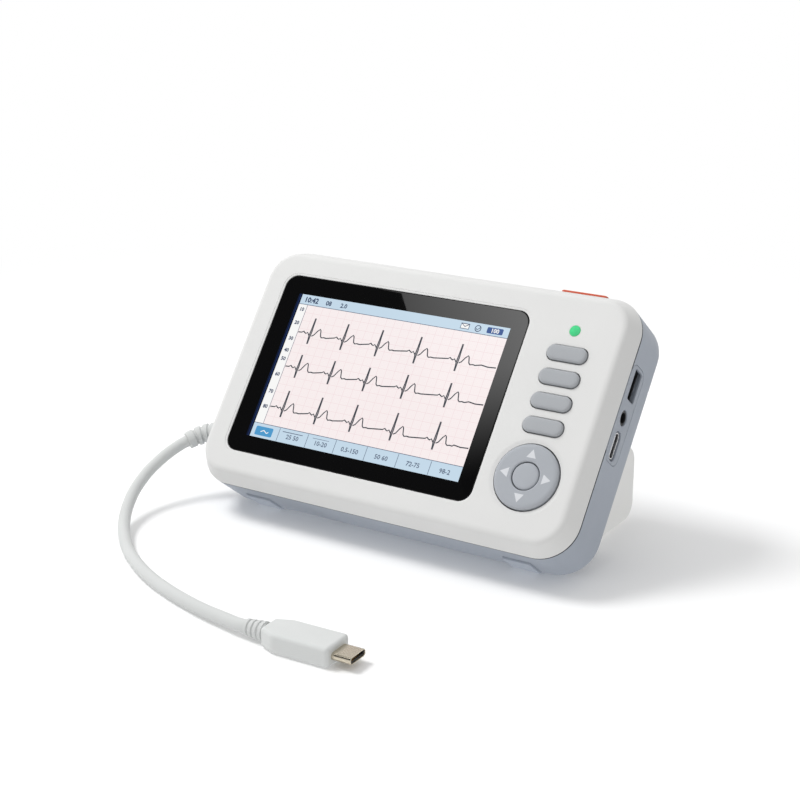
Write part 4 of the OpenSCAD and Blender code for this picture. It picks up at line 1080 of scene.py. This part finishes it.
class ECG_OT_rear_foot(bpy.types.Operator):
    """Hollow rear foot on two pinned hinges, with its rubber pads"""
    bl_idname = "ecg.rear_foot"
    bl_label = "Rear foot"

    def execute(self, context):
        h, f = context.scene.ecg_housing, context.scene.ecg_foot
        hinge = to_side(f.hinge, h.depth + f.hinge_out)
        across = Vector((math.sin(f.slope), math.cos(f.slope)))
        along = Vector((math.cos(f.slope), -math.sin(f.slope)))
        heel = hinge.x + f.reach
        bear = to_side(f.hinge - f.bear, h.depth + 0.4 * MM)
        sole = -HOUSING_AT.z + 1 * MM

        def roof(y, off):
            return hinge.y + (off - (y - hinge.x) * across.x) / across.y

        def upright(x):
            return Matrix.Translation(HOUSING_AT + Vector((x, 0, 0))) @ RIGHT

        knuckle = 4 * MM
        outer = [(bear.x, sole), (heel, sole), (heel, roof(heel, knuckle)), tuple(hinge + knuckle * across),
                 tuple(to_side(f.hinge, h.depth + 0.4 * MM)), tuple(bear)]
        body = outlined("stand", outer, upright(-f.width / 2), f.width, [0, 6 * MM, 6 * MM, 0, 0, 0], 8)
        soften(body, 1.2 * MM, 4, 50)
        inner = [(bear.x - 25 * MM, sole + f.wall), (heel - f.wall, sole + f.wall),
                 (heel - f.wall, roof(heel - f.wall, knuckle - f.wall)),
                 tuple(hinge + (knuckle - f.wall) * across - 8 * MM * along),
                 (bear.x - 25 * MM, hinge.y + 25 * MM)]
        cut(body,
            outlined("hollow", inner, upright(-f.width / 2 + f.wall), f.width - 2 * f.wall,
                     [0, 3.5 * MM, 3.5 * MM, 0, 0], 6),
            turned("swing", [(6 * MM, 0), (6 * MM, f.width + 2 * MM)],
                   upright(-f.width / 2 - 1 * MM) @ Matrix.Translation((hinge.x, hinge.y, 0)), 64))
        lugs = []
        for sx in (-1, 1):
            arc = [hinge + knuckle * (math.cos(a) * across - math.sin(a) * along)
                   for a in [math.radians(15 * i) for i in range(13)]]
            ends = [hinge - knuckle * across + 12 * MM * along, hinge + knuckle * across + 12 * MM * along]
            lug = outlined("lug", [tuple(q) for q in arc + ends], upright(sx * f.lug - 3.7 * MM), 7.4 * MM)
            soften(lug, 0.35 * MM, 2, 50)
            cut(lug, turned("pin_bore", mm((1.58, -1), (1.58, 9)),
                            upright(sx * f.lug - 3.7 * MM) @ Matrix.Translation((hinge.x, hinge.y, 0)), 40))
            lugs.append(lug)
        joined(body, *lugs)
        body.name = "rear_stand"
        finish_piece(body, "foot_white", "foot")
        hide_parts("rear_foot")

        y0, y1 = bear.x + 2 * MM, heel - 7 * MM
        pads = []
        for sx in (-1, 1):
            at = HOUSING_AT + Vector((sx * (f.width / 2 - 14 * MM), (y0 + y1) / 2, sole))
            pads.append(raised("pad", 14 * MM, y1 - y0, 3 * MM, Matrix.Translation(at) @ BOTTOM,
                               [(0, 0.7 * MM)] + round_over(0.3 * MM, 3) + [(0.3 * MM, 0)], 6))
        pair = joined(*pads)
        pair.name = "rear_pads"
        finish_piece(pair, "foot_rubber", "foot")
        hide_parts("foot_pads")
        return {"FINISHED"}


class ECG_OT_screws(bpy.types.Operator):
    """Four case screws: domed heads with cross recesses on threaded shanks"""
    bl_idname = "ecg.screws"
    bl_label = "Case screws"

    def execute(self, context):
        h = context.scene.ecg_housing
        x, v = h.width / 2 - SCREW_IN, h.height / 2 - SCREW_IN
        head = 25.1 * MM
        profile = mm((1.1, 7.7), (1.25, 8.2))
        turns = 26
        for i in range(turns):
            at = 8.4 * MM + i * (head - 9 * MM) / turns
            profile += [(1.0 * MM, at), (1.25 * MM, at + 0.28 * MM)]
        profile += [(radius, head + high) for radius, high in
                    mm((1.25, 0), (2.5, 0), (2.5, 0.5), (2.4, 0.75), (2.1, 1), (1.6, 1.18), (0.9, 1.27),
                       (0.4, 1.29))]
        screw = turned("screw", profile, stand((-x, 0, -v), BACK), 32)
        for wide, high in ((2.8, 0.6), (0.6, 2.8)):
            cut(screw, raised("recess", wide * MM, high * MM, 0.15 * MM,
                              stand((-x, head + 2 * MM, -v), FRONT), mm((0, 1.3), (0.08, 0.15)), 3))
        twins = [copied(screw, "screw", (dx, 0, dv)) for dx, dv in ((2 * x, 0), (0, 2 * v), (2 * x, 2 * v))]
        joined(screw, *twins)
        screw.name = "case_screw_set"
        finish_piece(screw, "bright_metal")
        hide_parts("case_screws")
        return {"FINISHED"}


# Centre line of the strain relief and of the lead, in millimetres
EXIT_AT = (-74.0, -20.396, 23.015)
BOOT_WAY = ((0, 0, 0), (-3.2, 0, 0), (-6.2, -1.3, -0.5), (-8.9, -3.6, -1.4), (-10.9, -6.5, -2.6))
PLUG_AT = (4.5, -109.2, 3.25)
LEAD_WAY = ((-87.4, -31.8, 18.3), (-88.6, -35.6, 16.6), (-89.3, -39.8, 14.7), (-89.6, -44.3, 12.7),
            (-89.1, -48.9, 10.7), (-87.9, -53.6, 8.9), (-86, -58.3, 7.1), (-83.5, -63, 5.5), (-80.2, -67.8, 4.1),
            (-76.2, -72.6, 3), (-71.3, -77.5, 2.4), (-65.5, -82.6, 2.1), (-58.8, -87.5, 2.1), (-51.3, -92.1, 2.1),
            (-43, -96.4, 2.1), (-34, -100, 2.1), (-24.5, -103.2, 2.2), (-15, -105.8, 2.4), (-5.5, -107.8, 2.8))
PLUG = Matrix.Translation(Vector(PLUG_AT) * MM) @ Matrix.Rotation(math.radians(2), 4, "Z")


def smooth_way(points, steps=10):
    """Points of a smooth curve through the given ones."""
    points = [Vector(p) for p in points]
    way = []
    for i in range(len(points) - 1):
        p1, p2 = points[i], points[i + 1]
        p0 = points[i - 1] if i else p1 * 2 - p2
        p3 = points[i + 2] if i + 2 < len(points) else p2 * 2 - p1
        for j in range(steps):
            t = j / steps
            way.append(0.5 * (2 * p1 + (p2 - p0) * t + (2 * p0 - 5 * p1 + 4 * p2 - p3) * t * t
                              + (3 * p1 - p0 - 3 * p2 + p3) * t ** 3))
    return way + [points[-1]]


def sleeve(name, way, ribs, first, last, groove, end=0.93):
    """Ribbed sleeve along a way: its radius runs from first to last, with grooves between ribs."""
    rib = 0.62  # share of each pitch that the rib takes
    runs = [0.0]
    for a, b in zip(way, way[1:]):
        runs.append(runs[-1] + (b - a).length)
    radii = []
    for run in runs:
        share = run / runs[-1]
        radius = first + (last - first) * share
        phase = (share * ribs) % 1.0
        if phase > rib and share < end:
            radius -= groove * max(0.0, math.sin(math.pi * (phase - rib) / (1 - rib))) ** 0.5
        radii.append(radius)
    radii[0] -= 0.12 * MM
    radii[-1] -= 0.15 * MM
    return tube(name, way, radii, sides=8)


class ECG_OT_lead(bpy.types.Operator):
    """Captive lead with its ribbed strain relief at the housing"""
    bl_idname = "ecg.lead"
    bl_label = "Lead"

    def execute(self, context):
        e = context.scene.ecg_lead
        start = [Vector(EXIT_AT) + Vector(p) for p in BOOT_WAY]
        way = smooth_way([p * MM for p in start], 24)
        boot = sleeve("lead_relief", way, 5, 4.0 * MM, 3.1 * MM, 0.65 * MM)
        neck = turned("neck", mm((4.5, -3.6), (4.5, -2.45), (3.35, -2.45), (3.35, 0.1)),
                      stand((-74 * MM, e.exit_w, e.exit_v), LEFT), 32)
        joined(boot, neck)
        finish_piece(boot, "lead_grey", smooth=50)
        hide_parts("lead_boot")

        end = start[-1]
        knots = [end, end + Vector((-1.2, -1.7, -0.75))] + [Vector(p) for p in LEAD_WAY]
        knots += [Vector(PLUG_AT) - Vector((2, 0.07, 0.08)), Vector(PLUG_AT)]
        clear()
        bpy.ops.curve.primitive_bezier_curve_add()
        lead = bpy.context.object
        lead.name = lead.data.name = "lead_cable"
        lead.data.splines.clear()
        spline = lead.data.splines.new("BEZIER")
        spline.bezier_points.add(len(knots) - 1)
        for knot, point in zip(spline.bezier_points, knots):
            knot.co = point * MM
            knot.handle_left_type = knot.handle_right_type = "AUTO"
        spline.resolution_u = 8
        lead.data.bevel_depth = e.thick / 2
        lead.data.bevel_resolution = 8
        lead.data.use_fill_caps = True
        lead.data.twist_mode = "MINIMUM"
        lead.data.materials.append(FINISHES["lead_grey"])
        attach(lead, "base")
        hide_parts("lead")
        return {"FINISHED"}


class ECG_OT_plug(bpy.types.Operator):
    """Plug on the lead: ribbed sleeve, moulded grip, metal shell and its insulator with contacts"""
    bl_idname = "ecg.plug"
    bl_label = "Plug"

    def execute(self, context):
        e = context.scene.ecg_lead
        sleeve_long = 7.5 * MM
        way = [PLUG @ Vector((sleeve_long * i / 90, 0, 0)) for i in range(91)]
        relief = sleeve("plug_relief", way, 4, 2.55 * MM, 3.25 * MM, 0.5 * MM, 0.99)
        finish_piece(relief, "lead_grey", smooth=50)
        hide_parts("plug_boot")

        wide, thick, long = e.grip_wide, e.grip_thick, e.grip_long
        at = PLUG @ Matrix.Translation((sleeve_long, 0, -thick / 2))
        plan = [(0, -wide * 0.31), (5.5 * MM, -wide / 2), (long, -wide / 2), (long, wide / 2),
                (5.5 * MM, wide / 2), (0, wide * 0.31)]
        radii = [radius * MM for radius in (1.4, 5, 1.35, 1.35, 5, 1.4)]
        grip = outlined("plug_handle", plan, at, thick, radii, 8)
        soften(grip, 1.25 * MM, 6, 50)
        finish_piece(grip, "grip_grey")
        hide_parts("plug_grip")

        facing = PLUG @ Matrix.Translation((sleeve_long + long, 0, 0)) @ RIGHT
        r = e.nose_thick / 2 - 0.1 * MM
        lip = round_over(0.14 * MM, 3)
        nose = raised("plug_shell", e.nose_wide, e.nose_thick, r, facing,
                      [(0, e.nose_long - 0.14 * MM)] + lip + [(0.02 * MM, 0)]
                      + [(b, -a) for a, b in lip] + [(0, -(e.nose_long - 0.9 * MM))], 10)
        finish_piece(nose, "plug_nickel")
        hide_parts("plug_nose")

        core = raised("plug_insulator", e.nose_wide - 0.7 * MM, e.nose_thick - 0.66 * MM, r - 0.33 * MM,
                      facing @ Matrix.Translation((0, 0, 0.95 * MM)),
                      [(0, e.nose_long - 1.45 * MM), (0.42 * MM, 0), (0, -(e.nose_long - 2.2 * MM))], 8)
        finish_piece(core, "dark_part")
        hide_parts("plug_core")
        strips = []
        for side in (-1, 1):
            for i in range(10):
                y = (i - 4.5) * 0.5 * MM
                at = facing @ Matrix.Translation((y, side * 0.36 * MM, 2.2 * MM))
                strips.append(raised("strip", 0.25 * MM, 0.1 * MM, 0.02 * MM, at,
                                     mm((0, 3.6), (0.02, 0.03)), 1))
        strip = joined(*strips)
        strip.name = "plug_contacts"
        finish_piece(strip, "brass")

        return {"FINISHED"}


INSIDE = {
    "glass_adhesive": "adhesive", "lcd_panel": "lcd", "lcd_tray": "bright_metal", "lcd_flex": "flex",
    "main_board": "board_green", "shield_can": "bright_metal", "side_switch": "dark_part",
    "key_board": "board_green", "dome_switches": "bright_metal", "pad_collar": "dark_part",
    "lead_socket": "socket_black", "jack_socket": "socket_black", "usb_socket": "bright_metal",
    "battery": "battery_wrap", "battery_lead": "wire_red", "speaker": "dark_part",
    "board_screws": "bright_metal", "hinge_pins": "bright_metal",
}


class ECG_OT_inside(bpy.types.Operator):
    """Finishes of the boards, battery, sockets and other pieces that keep the frame's own shape"""
    bl_idname = "ecg.inside"
    bl_label = "Inner pieces"

    def execute(self, context):
        for node, finish in INSIDE.items():
            for slot in NODES[node].material_slots:
                slot.material = FINISHES[finish]
        return {"FINISHED"}


# The camera's place, its turn to the right and its height above level
CAMERA_AT = (0.2865, -0.46671, 0.22299)
CAMERA_TURN, CAMERA_RISE = math.radians(32.499), math.radians(18.149)


class ECG_OT_stage(bpy.types.Operator):
    """Camera at the photograph's place, pale floor, soft lamps and even room light"""
    bl_idname = "ecg.stage"
    bl_label = "Stage"

    def execute(self, context):
        st = context.scene.ecg_stage
        clear()
        back = Vector((math.sin(CAMERA_TURN) * math.cos(CAMERA_RISE),
                       -math.cos(CAMERA_TURN) * math.cos(CAMERA_RISE), math.sin(CAMERA_RISE)))
        right = Vector((math.cos(CAMERA_TURN), math.sin(CAMERA_TURN), 0))
        up = back.cross(right)
        bpy.ops.object.camera_add()
        camera = context.object
        camera.name = "camera"
        turn = Matrix((right, up, back)).transposed().to_4x4()
        camera.matrix_world = Matrix.Translation(CAMERA_AT) @ turn
        camera.data.lens, camera.data.sensor_width = 75.13, 36
        camera.data.clip_start, camera.data.clip_end = 0.01, 50
        context.scene.camera = camera

        bpy.ops.mesh.primitive_plane_add(size=8, location=(0, 0, -0.0001))
        floor = context.object
        floor.name = "floor"
        floor.data.materials.append(self.floor_finish())

        self.lamp(st.lamp)
        self.panel(st.panel)
        self.room(context.scene, st.sky)
        context.scene.view_settings.view_transform = "Standard"
        return {"FINISHED"}

    @staticmethod
    def lamp(power):
        """Large soft lamp, high on the left, that no gloss mirrors."""
        at = Vector((-0.61, -0.2, 1.03))
        bpy.ops.object.light_add(type="AREA", location=at)
        lamp = bpy.context.object
        lamp.name = "main_lamp"
        lamp.data.size = 0.4
        lamp.data.energy = power
        lamp.visible_glossy = False
        lamp.rotation_euler = (Vector((0, 0, 0.03)) - at).to_track_quat("-Z", "Y").to_euler()

    @staticmethod
    def panel(strength):
        """Soft panel that only gloss sees: sharp at its left edge, fading downwards and to the left."""
        foot, low, high, wide = Vector((-0.3726, -0.5793, 0.6332)), -0.03, 0.27, 0.15
        up, side = Vector((-0.42423, 0.84092, 0.33598)), Vector((0.7786, 0.14926, 0.60951))
        turn = Matrix((side, up, side.cross(up))).transposed().to_4x4()
        clear()
        bpy.ops.mesh.primitive_plane_add(size=1)
        middle = foot + up * (low + high) / 2 + side * wide / 2
        panel = settle("soft_panel", Matrix.Translation(middle) @ turn, (wide, high - low, 1))
        finish = bpy.data.materials.new("soft_panel")
        finish.use_nodes = True
        tree = finish.node_tree
        tree.nodes.clear()
        uv = shade(tree, "SeparateXYZ", {"Vector": coords_of(tree, "UV")})
        down = spread(tree, uv.outputs["Y"], 0, 1, 0.267, 0.593, interpolation_type="SMOOTHSTEP")
        across = spread(tree, uv.outputs["X"], 0.47, 1, 0, 0.62)
        glow = shade(tree, "Emission", {"Color": maths(tree, "MULTIPLY", down, across)}, {"Strength": strength})
        shade(tree, "OutputMaterial", {"Surface": glow.outputs[0]})
        panel.data.materials.append(finish)
        panel.visible_camera = panel.visible_diffuse = panel.visible_shadow = False

    @staticmethod
    def floor_finish():
        """White floor that fades to plain white with the distance, lighter to rays of diffuse light."""
        finish = bpy.data.materials.new("floor")
        finish.use_nodes = True
        tree = finish.node_tree
        shader = tree.nodes["Principled BSDF"]
        for key, value in (("Base Color", (0.95, 0.95, 0.95, 1)), ("Roughness", 0.75),
                           ("Specular IOR Level", 0.15)):
            shader.inputs[key].default_value = value
        far = shade(tree, "VectorMath", {0: coords_of(tree)}, operation="LENGTH").outputs["Value"]
        fade = spread(tree, far, 0, 1, 0.13, 0.45, interpolation_type="SMOOTHSTEP")
        rays = shade(tree, "LightPath").outputs
        seen = maths(tree, "MAXIMUM", rays["Is Camera Ray"], rays["Is Glossy Ray"])
        amount = maths(tree, "MULTIPLY", fade, seen)
        lift = shade(tree, "Math", {0: rays["Is Diffuse Ray"], 2: amount}, {1: 0.85}, operation="MULTIPLY_ADD")
        white = shade(tree, "Emission")
        mix = shade(tree, "MixShader", {0: lift.outputs[0], 1: shader.outputs[0], 2: white.outputs[0]})
        tree.links.new(mix.outputs[0], tree.nodes["Material Output"].inputs["Surface"])
        return finish

    @staticmethod
    def room(scene, strength):
        """Even light, weaker from the right; reflections see it dark only where the screen looks."""
        world = scene.world or bpy.data.worlds.new("room")
        scene.world = world
        world.use_nodes = True
        tree = world.node_tree
        tree.nodes.clear()
        way = coords_of(tree, "Generated")
        across = shade(tree, "SeparateXYZ", {0: way}).outputs["X"]
        even = shade(tree, "Background", {"Color": spread(tree, across, 1, 0.68, 0, 0.9)}, {"Strength": strength})
        toward = shade(tree, "VectorMath", {0: way}, {1: Vector((-0.50, -0.51, 0.70)).normalized()},
                       operation="DOT_PRODUCT")
        dark = spread(tree, toward.outputs["Value"], 0.85, 0.012, 0.75, 0.93)
        mirrored = shade(tree, "Background", {"Color": dark}, {"Strength": 1.0})
        seen = shade(tree, "Background", None, {"Strength": 1.0})
        rays = shade(tree, "LightPath").outputs
        first = shade(tree, "MixShader", {0: rays["Is Glossy Ray"], 1: even.outputs[0], 2: mirrored.outputs[0]})
        plain = maths(tree, "MAXIMUM", rays["Is Camera Ray"], rays["Is Transmission Ray"])
        second = shade(tree, "MixShader", {0: plain, 1: first.outputs[0], 2: seen.outputs[0]})
        shade(tree, "OutputWorld", {"Surface": second.outputs[0]})


# ------------------------------------------------------------ panel, register and main

SETTINGS = (
    ("ecg_housing", EcgHousing), ("ecg_screen", EcgScreen), ("ecg_keys", EcgKeys), ("ecg_sockets", EcgSockets),
    ("ecg_foot", EcgFoot), ("ecg_lead", EcgLead), ("ecg_colours", EcgColours), ("ecg_stage", EcgStage),
)
PIECES = (
    ECG_OT_stage, ECG_OT_finishes, ECG_OT_lead, ECG_OT_plug, ECG_OT_front_shell, ECG_OT_rear_shell,
    ECG_OT_cover_glass, ECG_OT_picture, ECG_OT_keys, ECG_OT_direction_pad, ECG_OT_lamp, ECG_OT_top_button,
    ECG_OT_sockets, ECG_OT_front_feet, ECG_OT_rear_foot, ECG_OT_screws, ECG_OT_inside,
)


class ECG_PT_monitor(bpy.types.Panel):
    """Settings and pieces of the monitor"""
    bl_idname = "ECG_PT_monitor"
    bl_label = "Home ECG Monitor"
    bl_space_type = "VIEW_3D"
    bl_region_type = "UI"
    bl_category = "ECG Monitor"

    def draw(self, context):
        layout = self.layout
        for operator in PIECES:
            layout.operator(operator.bl_idname)
        for name, group in SETTINGS:
            box = layout.box()
            box.label(text=group.__name__[3:])
            for prop in group.__annotations__:
                box.prop(getattr(context.scene, name), prop)


def register():
    for name, group in SETTINGS:
        bpy.utils.register_class(group)
        setattr(bpy.types.Scene, name, bpy.props.PointerProperty(type=group))
    for operator in PIECES:
        bpy.utils.register_class(operator)
    bpy.utils.register_class(ECG_PT_monitor)


def unregister():
    bpy.utils.unregister_class(ECG_PT_monitor)
    for operator in reversed(PIECES):
        bpy.utils.unregister_class(operator)
    for name, group in reversed(SETTINGS):
        delattr(bpy.types.Scene, name)
        bpy.utils.unregister_class(group)


def main():
    register()
    clear()
    for operator in PIECES:
        group, name = operator.bl_idname.split(".")
        getattr(getattr(bpy.ops, group), name)()
    clear()


if __name__ == "__main__":
    main()
